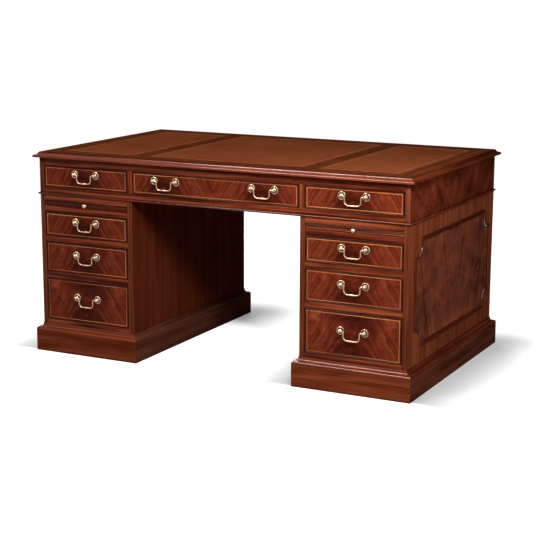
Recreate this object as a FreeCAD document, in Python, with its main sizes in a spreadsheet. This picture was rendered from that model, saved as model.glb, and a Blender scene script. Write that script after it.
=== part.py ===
"""Mahogany partners desk: two pedestals, a frieze of drawers and a leather-lined top.

The desk stands on z = 0 with +Z up. +X is to the right for someone facing the drawer side,
whose fronts look along -Y. The origin is on the floor under the middle of the desk.
Millimetres throughout. Every size is a cell of the sheet Sizes, every place that follows
from sizes is a formula in the sheet Places, and the pieces are bound to both.
"""
import FreeCAD, Part

import math
import os

import Sketcher

# Sizes that can be chosen by themselves.
SIZES = {
    # Outline of the desk
    "desk_width": 1524,         # over the tips of the top's moulded edge
    "desk_depth": 914,
    "desk_height": 762,
    "top_overhang": 19,         # tips of the top beyond the faces of the body
    # Top
    "top_thick": 20,
    "top_border": 86,           # mitred border, from the tip to the leather
    "edge_step": 2,             # square step down from the arris
    "edge_fillet": 1.5,         # narrow flats above and below the hollow
    "edge_cove": 8,             # width and height of the hollow
    "edge_hollow": 11,          # its radius, shallower than a quarter round
    "edge_nose": 7,             # radius of the round nose at the tip
    "leather_thick": 1.5,
    "centre_leather": 630,      # width of the middle writing leather
    "leather_band": 57,         # cross-banded strip between two leathers
    # Frieze
    "frieze_height": 132,
    "frieze_top_rail": 28,
    "frieze_bottom_rail": 21,
    "divider_thick": 20,
    "divider_overhang": 4,      # dividers stand this far inside the kneehole faces
    "spine_thick": 12,
    "waist_height": 7,
    "waist_projection": 6,
    "waist_depth": 34,          # of the waist moulding, in under the frieze
    "waist_nose": 3.8,          # radius of its rounded edge
    # Pedestals
    "pedestal_width": 403,
    "side_thick": 20,
    "rail_depth": 60,
    "runner_width": 30,
    "bottom_rail": 17,
    "lower_rail": 23.5,
    "middle_rail": 22,
    "slide_rail": 23,
    "pedestal_top_rail": 22,
    "middle_drawer": 116.5,     # opening heights
    "upper_drawer": 91,
    "slide_opening": 20,
    "partition_thick": 12,
    "partition_place": 50,      # of the partition behind the middle of the desk
    # Plinths
    "plinth_face": 83,
    "plinth_ovolo": 9,
    "plinth_cove": 10,
    "plinth_fillet": 2,         # narrow flat where the moulding meets the pedestal
    "plinth_lip": 5,
    "plinth_seat": 11,          # of the plinth, in under the pedestal
    # Drawers
    "drawer_gap": 1.5,          # round each front in its opening
    "run_clearance": 0.5,       # under and beside the drawer sides
    "front_thick": 20,
    "drawer_side": 11,
    "drawer_bottom": 6,
    "bottom_rise": 8,           # of the drawer bottom above the sides' lower edge
    "side_drop": 2,             # of the drawer sides below the front's upper edge
    "back_drop": 8,             # of the drawer back
    "groove_depth": 5,          # for the drawer bottom
    "tail_pitch": 30,           # wished for; the tails divide the height evenly
    "pin_root": 11,             # width of a pin between two tails at its widest
    "tail_flare": 2.2,          # widening of a tail to each side
    "pedestal_run_end": 18,     # free space behind the pedestal drawers
    "frieze_run_end": 22,
    "bead_width": 3,
    "bead_depth": 6,            # rebate for the beads, and the lap in front of the dovetails
    "bead_proud": 2,
    "bead_nose": 1.8,
    # Brushing slides
    "slide_run_end": 68,        # free space behind a slide
    "slide_lip": 22,            # depth of the cross-grained front lip
    "knob_radius": 7.5,
    "knob_base": 4.8,
    "knob_neck": 3,
    "knob_stem": 5,             # from the slide to the head of its knob
    "knob_crown": 5,            # height of the head beyond its widest place
    "knob_reach": 15,
    "knob_round": 5.5,          # radius of the head's underside
    # Bail handles
    "post_spacing": 90,
    "handle_rise": 14,          # of the pivot above the middle of the drawer
    "centre_handles": 394,      # between the two handles of the middle drawer
    "pivot_stand": 11,          # of the pivot in front of the drawer's face
    "rosette_radius": 14.5,
    "rosette_thick": 3.2,
    "rosette_rim": 2.2,
    "dish_radius": 8,
    "boss_radius": 4.3,
    "neck_radius": 2.8,
    "ball_radius": 5.6,
    "shank_radius": 2,
    "shank_clearance": 0.15,
    "thread_length": 7,         # of the shank inside the drawer
    "nut_radius": 4.6,
    "nut_thick": 3.2,
    "thread_clearance": 0.05,
    "rod_radius": 2.2,
    "arm_length": 9,            # from the post's ball to the leg of the bail
    "bail_drop": 31.5,
    "shoulder_radius": 5,
    "grip_radius": 14,
    "grip_swell": 3,            # radius at the middle of the grip
    "grip_swell_length": 22,
    "collar_radius": 3,
    "collar_width": 1.6,
    "pintle_radius": 1.6,
    "pintle_length": 10,
    "pintle_clearance": 0.08,
    "ball_clearance": 0.4,      # between a ball and the shoulder of the bail
    # Applied mouldings of the ends and doors
    "moulding_width": 13,
    "moulding_thick": 6,
    "moulding_edge": 1.5,       # thickness at the inner edge
    "moulding_ovolo": 7,        # radius of the inner slope
    "moulding_quirk": 1,
    "moulding_crown": 4.5,      # flat of the raised part
    "moulding_round": 3.5,      # radius of the outer shoulder
    "notch_radius": 43,
    "notch_margin": 6,          # straight part of a notch beyond the mitre
    "end_margin": 47,           # from the moulding to the upright edges of the end
    "end_margin_high": 58,      # from the moulding to the ends of the panel above and below
    "door_margin": 42,
    # Cupboards
    "hinge_gap": 3,
    "hinge_leaf": 1.2,
    "hinge_length": 60,
    "hinge_inset": 70,          # from the ends of the door to the hinge
    "knuckle_radius": 3.5,
    "knuckle_stand": 0.3,       # of the knuckle in front of the door's bead
    "knuckle_play": 0.3,        # between two knuckles
    "pin_radius": 1.6,
    "pin_clearance": 0.05,
    "leaf_depth": 22,           # from the pin to the far edge of a leaf
    "shelf_thick": 18,
    "shelf_play": 0.5,
    "shelf_setback": 40,
    "cleat_height": 18,
    "cleat_width": 15,
    "stop_width": 10,
    "stop_depth": 20,
    "stop_clearance": 0.3,
    "door_knob_radius": 11,
    "door_knob_base": 8,
    "door_knob_neck": 4.2,
    "door_knob_stem": 9,
    "door_knob_crown": 7,
    "door_knob_reach": 21,
    "door_knob_round": 8,
    "door_knob_inset": 18,      # from the free edge of the door
}

# Places and sizes that follow from the sizes above.
PLACES = {
    "body_x": "Sizes.desk_width / 2 - Sizes.top_overhang",
    "body_y": "Sizes.desk_depth / 2 - Sizes.top_overhang",
    "inner_x": "body_x - Sizes.pedestal_width",
    "opening_out": "body_x - Sizes.side_thick",
    "opening_in": "inner_x + Sizes.side_thick",
    "divider_in": "inner_x - Sizes.divider_overhang",
    "divider_out": "divider_in + Sizes.divider_thick",
    "rail_y": "body_y - Sizes.rail_depth",
    "partition_front": "Sizes.partition_place",
    "partition_back": "partition_front + Sizes.partition_thick",
    "pedestal_drawer_depth": "body_y + partition_front - Sizes.pedestal_run_end",
    "frieze_drawer_depth": "body_y - Sizes.spine_thick / 2 - Sizes.frieze_run_end",
    "slide_depth": "body_y + partition_front - Sizes.slide_run_end",
    "plinth_projection": "Sizes.plinth_ovolo + Sizes.plinth_cove + Sizes.plinth_fillet",
    "carcass_low": "Sizes.plinth_face + Sizes.plinth_ovolo + Sizes.plinth_cove + Sizes.plinth_lip",
    "top_under": "Sizes.desk_height - Sizes.top_thick",
    "frieze_low": "top_under - Sizes.frieze_height",
    "frieze_open_low": "frieze_low + Sizes.frieze_bottom_rail",
    "frieze_open_high": "top_under - Sizes.frieze_top_rail",
    "carcass_high": "frieze_low - Sizes.waist_height",
    "slide_high": "carcass_high - Sizes.pedestal_top_rail",
    "slide_low": "slide_high - Sizes.slide_opening",
    "upper_high": "slide_low - Sizes.slide_rail",
    "upper_low": "upper_high - Sizes.upper_drawer",
    "middle_high": "upper_low - Sizes.middle_rail",
    "middle_low": "middle_high - Sizes.middle_drawer",
    "lower_high": "middle_low - Sizes.lower_rail",
    "lower_low": "carcass_low + Sizes.bottom_rail",
    "leather_x": "Sizes.desk_width / 2 - Sizes.top_border",
    "leather_y": "Sizes.desk_depth / 2 - Sizes.top_border",
    "leather_low": "Sizes.desk_height - Sizes.leather_thick",
    "band_in": "Sizes.centre_leather / 2",
    "band_out": "band_in + Sizes.leather_band",
    "edge_hollow_low": "Sizes.top_thick - Sizes.edge_step - Sizes.edge_cove",
    "edge_foot": "edge_hollow_low - Sizes.edge_nose",
    "edge_hollow_out": "Sizes.edge_nose + Sizes.edge_fillet",
    "edge_hollow_in": "edge_hollow_out + Sizes.edge_cove",
    "waist_flat": "Sizes.waist_projection - Sizes.waist_nose"
                  " + sqrt(Sizes.waist_nose ^ 2 - (Sizes.waist_height / 2) ^ 2)",
    "bead_flat": "Sizes.bead_proud - Sizes.bead_nose"
                 " + sqrt(Sizes.bead_nose ^ 2 - (Sizes.bead_width / 2) ^ 2)",
    "ball_back": "Sizes.pivot_stand - sqrt(Sizes.ball_radius ^ 2 - Sizes.neck_radius ^ 2)",
    "grip_rise": "Sizes.grip_swell - Sizes.rod_radius",
    "grip_arc": "((Sizes.grip_swell_length / 2) ^ 2 + grip_rise ^ 2) / (2 * grip_rise)",
    "arm_end": "Sizes.post_spacing / 2 - Sizes.ball_radius - Sizes.ball_clearance",
    "leg_x": "arm_end - Sizes.arm_length",
    "notch_step": "Sizes.moulding_width + Sizes.notch_margin",
    "notch": "notch_step + Sizes.notch_radius",
    "hinge_x": "opening_out - Sizes.hinge_gap / 2",
    "hinge_y": "body_y + Sizes.bead_proud + Sizes.knuckle_stand + Sizes.knuckle_radius",
    "door_in": "opening_in + Sizes.drawer_gap",
    "door_out": "opening_out - Sizes.hinge_gap",
    "door_low": "lower_low + Sizes.drawer_gap",
    "door_high": "slide_high - Sizes.drawer_gap",
    "door_mid": "(door_low + door_high) / 2",
}

SIDES = {"left": -1, "right": 1}
NODES = []

doc = FreeCAD.newDocument("PartnersDesk")


def fill_sheet(name, cells, prefix):
    """Write a sheet with one named cell to a row."""
    sheet = doc.addObject("Spreadsheet::Sheet", name)
    for row, (alias, content) in enumerate(cells.items(), start=1):
        sheet.set(f"A{row}", alias)
        sheet.set(f"B{row}", f"{prefix}{content}")
        sheet.setAlias(f"B{row}", alias)
    return sheet


sizes = fill_sheet("Sizes", SIZES, "")
places = fill_sheet("Places", PLACES, "=")
doc.recompute()


def number(expression):
    """Value of an expression in the sheets' names."""
    return float(sizes.evalExpression(str(expression)))


def handed(side, place):
    """Place along X on the right of the desk, or its mirror image on the left."""
    return place if side > 0 else f"-({place})"


def mirrored(side, low, high):
    """Span from low to high on the right of the desk, or its mirror image on the left."""
    return (low, high) if side > 0 else (handed(side, high), handed(side, low))


def put(piece, x=0, y=0, z=0, turn=None):
    """Bind a piece's place to expressions, and turn it."""
    if turn is not None:
        piece.Placement = FreeCAD.Placement(FreeCAD.Vector(), turn)
    for axis, expression in zip("xyz", (x, y, z)):
        piece.setExpression(f"Placement.Base.{axis}", str(expression))
    return piece


def about(x, y, z, angle):
    """Rotation about the axis (x, y, z) by an angle in degrees."""
    return FreeCAD.Rotation(FreeCAD.Vector(x, y, z), angle)


def block(name, x, y, z):
    """Board with square faces; x, y and z are its (low, high) spans."""
    piece = doc.addObject("Part::Box", name)
    for prop, (low, high) in zip(("Length", "Width", "Height"), (x, y, z)):
        piece.setExpression(prop, f"({high}) - ({low})")
    return put(piece, x[0], y[0], z[0])


def rod(name, radius, length, x, y, z, turn=None):
    """Cylinder standing on (x, y, z)."""
    piece = doc.addObject("Part::Cylinder", name)
    piece.setExpression("Radius", str(radius))
    piece.setExpression("Height", str(length))
    return put(piece, x, y, z, turn)


def cut(name, base, tool):
    """Base with the tool's shape taken out of it."""
    piece = doc.addObject("Part::Cut", name)
    piece.Base = base
    piece.Tool = tool
    return piece


def fuse(name, pieces):
    """One solid made of the pieces."""
    piece = doc.addObject("Part::MultiFuse", name)
    piece.Shapes = pieces
    return piece


def group(name, pieces):
    """Separate solids that belong together."""
    piece = doc.addObject("Part::Compound", name)
    piece.Links = pieces
    return piece


def node(name, pieces):
    """Sub-part of the desk: one file, named after the label."""
    piece = group(name, pieces)
    piece.Label = name
    NODES.append(piece)
    return piece


def blank_sketch(body, name, role):
    """Empty sketch on the origin plane of a body that has this role."""
    sketch = body.newObject("Sketcher::SketchObject", name)
    plane = next(f for f in body.Origin.OriginFeatures if f.Role == role)
    sketch.AttachmentSupport = (plane, [""])
    sketch.MapMode = "FlatFace"
    return sketch


def outline(body, name, role, corners, closed=True):
    """Sketch on an origin plane of a body, each corner held by its two distances.

    A corner is (x, y), with a straight line to the next, or (x, y, radius, bulge), with an
    arc to the next that bulges to the left of the way there for bulge +1, to the right for -1.
    """
    return draw(blank_sketch(body, name, role), corners, closed)


def draw(sketch, corners, closed=True):
    """Add one chain of lines and arcs to a sketch and hold its corners."""
    first = sketch.GeometryCount
    points = [FreeCAD.Vector(number(c[0]), number(c[1]), 0) for c in corners]
    count = len(corners) if closed else len(corners) - 1
    ends = []
    for i in range(count):
        a, b = points[i], points[(i + 1) % len(points)]
        if len(corners[i]) == 2:
            sketch.addGeometry(Part.LineSegment(a, b))
            ends.append((1, 2))
        else:
            ends.append(add_arc(sketch, a, b, number(corners[i][2]), corners[i][3]))
    for i in range(count if closed else count - 1):
        following = (i + 1) % count
        sketch.addConstraint(Sketcher.Constraint(
            "Coincident", first + i, ends[i][1], first + following, ends[following][0]))
    for i in range(count):
        hold(sketch, first + i, ends[i][0], corners[i])
        if len(corners[i]) > 2:
            index = sketch.addConstraint(
                Sketcher.Constraint("Radius", first + i, number(corners[i][2])))
            sketch.setExpression(f"Constraints[{index}]", str(corners[i][2]))
    if not closed:
        hold(sketch, first + count - 1, ends[-1][1], corners[-1])
    return sketch


def add_arc(sketch, a, b, radius, bulge):
    """Add the arc from a to b and return the numbers of its end points at a and at b."""
    chord = b - a
    rise = math.sqrt(max(radius ** 2 - (chord.Length / 2) ** 2, 0))
    left = FreeCAD.Vector(-chord.y, chord.x, 0).normalize()
    centre = (a + b) * 0.5 - left * rise * bulge
    circle = Part.Circle(centre, FreeCAD.Vector(0, 0, 1), radius)
    start, stop = (math.atan2(p.y - centre.y, p.x - centre.x) for p in (a, b))
    if bulge > 0:
        sketch.addGeometry(Part.ArcOfCircle(circle, stop, start))
        return (2, 1)
    sketch.addGeometry(Part.ArcOfCircle(circle, start, stop))
    return (1, 2)


def hold(sketch, geometry, end, corner):
    """Bind an end point's two distances from the sketch's origin."""
    for kind, expression in zip(("DistanceX", "DistanceY"), corner):
        index = sketch.addConstraint(
            Sketcher.Constraint(kind, -1, 1, geometry, end, number(expression)))
        sketch.setExpression(f"Constraints[{index}]", str(expression))


def ring(body, name, role, radius, x=0, y=0):
    """Sketch of one circle about (x, y)."""
    sketch = blank_sketch(body, name, role)
    centre = FreeCAD.Vector(number(x), number(y), 0)
    sketch.addGeometry(Part.Circle(centre, FreeCAD.Vector(0, 0, 1), number(radius)))
    index = sketch.addConstraint(Sketcher.Constraint("Radius", 0, number(radius)))
    sketch.setExpression(f"Constraints[{index}]", str(radius))
    hold(sketch, 0, 3, (x, y))
    return sketch


def both_ways(body, name, sketch, length):
    """Pad a sketch by half the length to either side."""
    pad = body.newObject("PartDesign::Pad", name)
    pad.Profile = sketch
    pad.SideType = "Symmetric"
    pad.setExpression("Length", str(length))
    return pad


def through(body, name, sketch):
    """Cut a sketch right through the body, to both sides of its plane."""
    pocket = body.newObject("PartDesign::Pocket", name)
    pocket.Profile = sketch
    pocket.SideType = "Symmetric"
    pocket.Type = "ThroughAll"
    return pocket


def turned(body, name, sketch, axis):
    """Revolve a sketch through a full turn about one of its own axes."""
    feature = body.newObject("PartDesign::Revolution", name)
    feature.Profile = sketch
    feature.ReferenceAxis = (sketch, [axis])
    feature.Angle = 360
    return feature


def stick(name, half_length, section, reach, depth):
    """Moulded strip along X with mitred ends.

    The section is drawn in the YZ plane, +Y outwards. Half_length is measured on y = 0,
    and the section lies between y = -depth and y = reach.
    """
    body = doc.addObject("PartDesign::Body", name)
    profile = outline(body, f"{name}_section", "YZ_Plane", section)
    both_ways(body, f"{name}_strip", profile, f"2 * ({half_length} + {reach})")
    mitres = blank_sketch(body, f"{name}_mitre_lines", "XY_Plane")
    for sign in ("", "-"):
        draw(mitres, [
            (f"{sign}({half_length} - ({depth}))", f"-({depth})"),
            (f"{sign}({half_length} + {reach})", f"-({depth})"),
            (f"{sign}({half_length} + {reach})", str(reach)),
        ])
    through(body, f"{name}_mitres", mitres)
    return body


def mitred_frame(name, half_x, half_y, section, reach, depth, middle=0):
    """Four mitred strips round a rectangle whose faces lie at half_x and half_y."""
    strips = []
    for word, half, turn, x, y in (
        ("back", half_x, 0, middle, half_y),
        ("front", half_x, 180, middle, f"-({half_y})"),
        ("right", half_y, -90, f"{middle} + ({half_x})", 0),
        ("left", half_y, 90, f"{middle} - ({half_x})", 0),
    ):
        strip = stick(f"{name}_{word}", half, section, reach, depth)
        strips.append(put(strip, x, y, 0, about(0, 0, 1, turn)))
    return strips


def notched_moulding(name, half_x, half_y):
    """Applied moulding round a panel, its corners notched by hollow quarter circles.

    It lies on the XY plane and rises along +Z. Half_x and half_y reach its outer edge.
    """
    body = doc.addObject("PartDesign::Body", name)
    step, notch, hollow = "Places.notch_step", "Places.notch", "Sizes.notch_radius"
    path = []
    for x, y, first_along_y in (("-", "", True), ("", "", False), ("", "-", True), ("-", "-", False)):
        low, high = f"({half_y} - {notch})", f"({half_y} - {step})"
        corner = [
            (f"{x}({half_x})", f"{y}{low}"),
            (f"{x}({half_x} - {step})", f"{y}{low}", hollow, -1),
            (f"{x}({half_x} - {notch})", f"{y}{high}"),
            (f"{x}({half_x} - {notch})", f"{y}({half_y})"),
        ]
        path += corner if first_along_y else turned_round(corner)
    spine = outline(body, f"{name}_path", "XY_Plane", path)
    edge = f"-({half_x})"
    shoulder = f"{edge} + Sizes.moulding_round"
    section = outline(body, f"{name}_section", "XZ_Plane", [
        (edge, 0),
        (f"{edge} + Sizes.moulding_width", 0),
        (f"{edge} + Sizes.moulding_width", "Sizes.moulding_edge", "Sizes.moulding_ovolo", -1),
        (f"{shoulder} + Sizes.moulding_crown", "Sizes.moulding_thick - Sizes.moulding_quirk"),
        (f"{shoulder} + Sizes.moulding_crown", "Sizes.moulding_thick"),
        (shoulder, "Sizes.moulding_thick", "Sizes.moulding_round", -1),
        (edge, "Sizes.moulding_thick - Sizes.moulding_round"),
    ])
    pipe = body.newObject("PartDesign::AdditivePipe", f"{name}_run")
    pipe.Profile = section
    pipe.Spine = (spine, [])
    pipe.Transition = "Right corner"
    return body


def turned_round(corner):
    """The same four corners in the opposite order, with the arc still bulging to the right."""
    last, end, start, first = corner
    return [first, start + end[2:], end[:2], last]


def post(name):
    """Turned handle post: rosette on the drawer's face, ball head in front, shank behind.

    Its axis is Y, with the drawer's face at y = 0 and the front at negative y.
    """
    body = doc.addObject("PartDesign::Body", name)
    profile = outline(body, f"{name}_profile", "XY_Plane", [
        (0, "Sizes.front_thick + Sizes.thread_length"),
        ("Sizes.shank_radius", "Sizes.front_thick + Sizes.thread_length"),
        ("Sizes.shank_radius", 0),
        ("Sizes.rosette_radius", 0),
        ("Sizes.rosette_radius", "Sizes.rosette_rim - Sizes.rosette_thick", "Sizes.rosette_rim", 1),
        ("Sizes.rosette_radius - Sizes.rosette_rim", "-Sizes.rosette_thick", "Sizes.dish_radius", -1),
        ("Sizes.boss_radius", "-Sizes.rosette_thick"),
        ("Sizes.neck_radius", "Sizes.neck_radius - Sizes.boss_radius - Sizes.rosette_thick"),
        ("Sizes.neck_radius", "-Places.ball_back", "Sizes.ball_radius", 1),
        (0, "-(Sizes.pivot_stand + Sizes.ball_radius)"),
    ])
    turned(body, f"{name}_turning", profile, "V_Axis")
    bore = ring(body, f"{name}_bore_line", "YZ_Plane",
                "Sizes.pintle_radius + Sizes.pintle_clearance", "-Sizes.pivot_stand")
    through(body, f"{name}_bore", bore)
    return body


def nut(name):
    """Hexagon nut that clamps a post from inside the drawer."""
    blank = doc.addObject("Part::Prism", f"{name}_blank")
    blank.Polygon = 6
    blank.setExpression("Circumradius", "Sizes.nut_radius")
    blank.setExpression("Height", "Sizes.nut_thick")
    bore = rod(f"{name}_bore", "Sizes.shank_radius + Sizes.thread_clearance", "Sizes.nut_thick", 0, 0, 0)
    return cut(name, blank, bore)


def bail(name):
    """Swan-necked bail in the XZ plane, hanging from the axis z = 0 by its two pintles."""
    body = doc.addObject("PartDesign::Body", name)
    arm, leg = "Places.arm_end", "Places.leg_x"
    bend, curve, drop = "Sizes.shoulder_radius", "Sizes.grip_radius", "Sizes.bail_drop"
    spine = outline(body, f"{name}_path", "XZ_Plane", [
        (f"-{arm}", 0),
        (f"-({leg} + {bend})", 0, bend, 1),
        (f"-{leg}", f"-{bend}"),
        (f"-{leg}", f"{curve} - {drop}", curve, -1),
        (f"{curve} - {leg}", f"-{drop}"),
        (f"{leg} - {curve}", f"-{drop}", curve, -1),
        (leg, f"{curve} - {drop}"),
        (leg, f"-{bend}", bend, 1),
        (f"{leg} + {bend}", 0),
        (arm, 0),
    ], closed=False)
    section = ring(body, f"{name}_section", "YZ_Plane", "Sizes.rod_radius")
    section.setExpression("AttachmentOffset.Base.z", f"-{arm}")
    pipe = body.newObject("PartDesign::AdditivePipe", f"{name}_rod")
    pipe.Profile = section
    pipe.Spine = (spine, [])
    ends = blank_sketch(body, f"{name}_pintle_profile", "XZ_Plane")
    for sign in ("", "-"):
        draw(ends, [
            (f"{sign}({arm} - Sizes.collar_width)", 0),
            (f"{sign}({arm} + Sizes.pintle_length)", 0),
            (f"{sign}({arm} + Sizes.pintle_length)", "Sizes.pintle_radius"),
            (f"{sign}{arm}", "Sizes.pintle_radius"),
            (f"{sign}{arm}", "Sizes.collar_radius"),
            (f"{sign}({arm} - Sizes.collar_width)", "Sizes.collar_radius"),
        ])
    turned(body, f"{name}_pintles", ends, "H_Axis")
    grip = outline(body, f"{name}_grip_profile", "XZ_Plane", [
        ("-Sizes.grip_swell_length / 2", 0),
        ("-Sizes.grip_swell_length / 2", "Sizes.rod_radius", "Places.grip_arc", 1),
        ("Sizes.grip_swell_length / 2", "Sizes.rod_radius"),
        ("Sizes.grip_swell_length / 2", 0),
    ])
    grip.setExpression("AttachmentOffset.Base.y", f"-{drop}")
    turned(body, f"{name}_grip", grip, "H_Axis")
    return body


def knob(name, kind):
    """Turned knob standing on y = 0 and reaching to negative y; kind names its sizes."""
    body = doc.addObject("PartDesign::Body", name)
    size = f"Sizes.{kind}"
    widest = f"({size}_crown - {size}_reach)"
    dome = f"({size}_radius ^ 2 + {size}_crown ^ 2) / (2 * {size}_crown)"
    profile = outline(body, f"{name}_profile", "XY_Plane", [
        (0, 0),
        (f"{size}_base", 0),
        (f"{size}_base", f"{size}_neck - {size}_base"),
        (f"{size}_neck", f"2 * ({size}_neck - {size}_base)"),
        (f"{size}_neck", f"-{size}_stem", f"{size}_round", 1),
        (f"{size}_radius", widest, dome, 1),
        (0, f"-{size}_reach"),
    ])
    turned(body, f"{name}_turning", profile, "V_Axis")
    return body


BEAD_SECTION = [
    ("-Sizes.bead_width", "-Sizes.bead_depth"),
    (0, "-Sizes.bead_depth"),
    (0, "Places.bead_flat", "Sizes.bead_nose", -1),
    ("-Sizes.bead_width", "Places.bead_flat"),
]


def beaded_front(name, width, height):
    """Drawer or door front, its face on y = 0 and its foot on z = 0.

    The board is rebated along its edges for the mitred cock beads.
    """
    bead, depth = "Sizes.bead_width", "Sizes.bead_depth"
    field = block(f"{name}_field", (f"{bead} - {width} / 2", f"{width} / 2 - {bead}"),
                  (0, depth), (bead, f"{height} - {bead}"))
    backing = block(f"{name}_backing", (f"-{width} / 2", f"{width} / 2"),
                    (depth, "Sizes.front_thick"), (0, height))
    board = fuse(f"{name}_board", [field, backing])
    strips = mitred_frame(f"{name}_bead", f"{width} / 2", f"{height} / 2", BEAD_SECTION, 0, bead)
    beads = put(group(f"{name}_beads", strips), 0, 0, f"{height} / 2", about(1, 0, 0, 90))
    return board, beads


def dovetails(base, tip, low, high):
    """Corners of a row of dovetails from the height low to high, with half pins at both ends.

    The tails start at base and end at tip.
    """
    count = max(1, round(number(f"(({high}) - ({low})) / Sizes.tail_pitch")))
    pitch = f"(({high}) - ({low})) / {count}"
    narrow = f"({pitch} - Sizes.pin_root) / 2"
    corners = []
    for i in range(count):
        middle = f"{low} + {pitch} * ({i} + 1 / 2)"
        corners += [
            (base, f"{middle} - {narrow}"),
            (tip, f"{middle} - {narrow} - Sizes.tail_flare"),
            (tip, f"{middle} + {narrow} + Sizes.tail_flare"),
            (base, f"{middle} + {narrow}"),
        ]
    return corners


def drawer_side(name, x, side_high, back_z, depth):
    """Drawer side about the plane x, with half-blind tails in front and through tails behind."""
    floor, back_high = back_z
    body = doc.addObject("PartDesign::Body", name)
    housed = f"{depth} - Sizes.drawer_side"
    profile = outline(body, f"{name}_outline", "YZ_Plane", [
        ("Sizes.front_thick", 0),
        *dovetails("Sizes.front_thick", "Sizes.bead_depth", "0", side_high),
        ("Sizes.front_thick", side_high),
        (depth, side_high),
        (depth, back_high),
        (housed, back_high),
        *reversed(dovetails(housed, depth, floor, back_high)),
        (housed, floor),
        (depth, floor),
        (depth, 0),
    ])
    both_ways(body, f"{name}_board", profile, "Sizes.drawer_side")
    return put(body, x)


def drawer(name, x_span, z_span, depth, facing, handle_places=(("", 0),)):
    """Dovetailed drawer with its handle posts and bails, in the opening x_span by z_span.

    Facing is -1 for the drawer side of the desk and 1 for the cupboard side. Each handle is
    (suffix, place along X from the drawer's middle).
    """
    (x_low, x_high), (z_low, z_high) = x_span, z_span
    width = f"({x_high} - ({x_low}) - 2 * Sizes.drawer_gap)"
    height = f"({z_high} - {z_low} - Sizes.run_clearance - Sizes.drawer_gap)"
    middle = f"({x_high} + {x_low}) / 2"
    pivot = f"{height} / 2 + Sizes.handle_rise"
    side, front = "Sizes.drawer_side", "Sizes.front_thick"
    side_x = f"({width} - {side}) / 2"
    grooved_x = f"{width} / 2 - {side} + Sizes.groove_depth"
    back_z = ("Sizes.bottom_rise + Sizes.drawer_bottom", f"{height} - Sizes.back_drop")
    posts = [f"{x} {sign} Sizes.post_spacing / 2" for _, x in handle_places for sign in "-+"]
    turn = about(0, 0, 1, 0 if facing < 0 else 180)
    place = (middle, f"{'-' if facing < 0 else ''}Places.body_y", f"{z_low} + Sizes.run_clearance")

    bottom = block(f"{name}_bottom", (f"-({grooved_x})", grooved_x),
                   (f"{front} - Sizes.groove_depth", depth), ("Sizes.bottom_rise", back_z[0]))
    sides = []
    for word, x in (("left", f"-({side_x})"), ("right", side_x)):
        board = drawer_side(f"{name}_{word}_blank", x, f"{height} - Sizes.side_drop", back_z, depth)
        sides.append(cut(f"{name}_{word}_side", board, bottom))
    holes = [rod(f"{name}_hole_{i}", "Sizes.shank_radius + Sizes.shank_clearance", front,
                 x, 0, pivot, about(1, 0, 0, -90)) for i, x in enumerate(posts, start=1)]
    blank, beads = beaded_front(f"{name}_front", width, height)
    face = cut(f"{name}_front", blank, group(f"{name}_sockets", sides + [bottom] + holes))
    back_blank = block(f"{name}_back_blank", (f"-{width} / 2", f"{width} / 2"),
                       (f"{depth} - {side}", depth), back_z)
    back = cut(f"{name}_back", back_blank, group(f"{name}_tails", sides))
    put(node(name, [face, beads, *sides, back, bottom]), *place, turn)

    fittings = []
    for i, x in enumerate(posts, start=1):
        fittings.append(put(post(f"{name}_post_{i}"), x, 0, pivot))
        fittings.append(put(nut(f"{name}_nut_{i}"), x, front, pivot, about(1, 0, 0, -90)))
    put(node(f"{name}_posts", fittings), *place, turn)

    for suffix, x in handle_places:
        hanging = put(bail(f"{name}_bail{suffix}_body"), x, "-Sizes.pivot_stand", pivot)
        put(node(f"{name}_bail{suffix}", [hanging]), *place, turn)


def slide(name, x_span):
    """Brushing slide: board, cross-grained front lip and knob."""
    x = (f"{x_span[0]} + Sizes.drawer_gap", f"{x_span[1]} - Sizes.drawer_gap")
    z = ("Places.slide_low + Sizes.run_clearance", "Places.slide_high - Sizes.drawer_gap")
    lip = "Sizes.slide_lip - Places.body_y"
    node(name, [
        block(f"{name}_board", x, (lip, "Places.slide_depth - Places.body_y"), z),
        block(f"{name}_lip", x, ("-Places.body_y", lip), z),
    ])
    turning = knob(f"{name}_knob_turning", "knob")
    put(turning, f"({x_span[0]} + {x_span[1]}) / 2", "-Places.body_y", f"({z[0]} + {z[1]}) / 2")
    node(f"{name}_knob", [turning])


def hinge_half(name, side, leaf_x, heights, knuckles):
    """One leaf of a butt hinge with its knuckles, bored for the pin."""
    joint_y = "Places.hinge_y - Sizes.knuckle_radius - Sizes.knuckle_play"
    low, high = heights
    x = handed(side, "Places.hinge_x")
    pieces = [block(f"{name}_plate", mirrored(side, *leaf_x),
                    ("Places.hinge_y - Sizes.leaf_depth", joint_y), (low, high))]
    for i, (start, stop) in enumerate(knuckles, start=1):
        pieces.append(block(f"{name}_neck_{i}", mirrored(side, *leaf_x),
                            (joint_y, "Places.hinge_y"), (start, stop)))
        pieces.append(rod(f"{name}_knuckle_{i}", "Sizes.knuckle_radius", f"({stop}) - ({start})",
                          x, "Places.hinge_y", start))
    solid = fuse(f"{name}_solid", pieces)
    bore = rod(f"{name}_bore", "Sizes.pin_radius + Sizes.pin_clearance", f"({high}) - ({low})",
               x, "Places.hinge_y", low)
    return cut(name, solid, bore)


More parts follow.
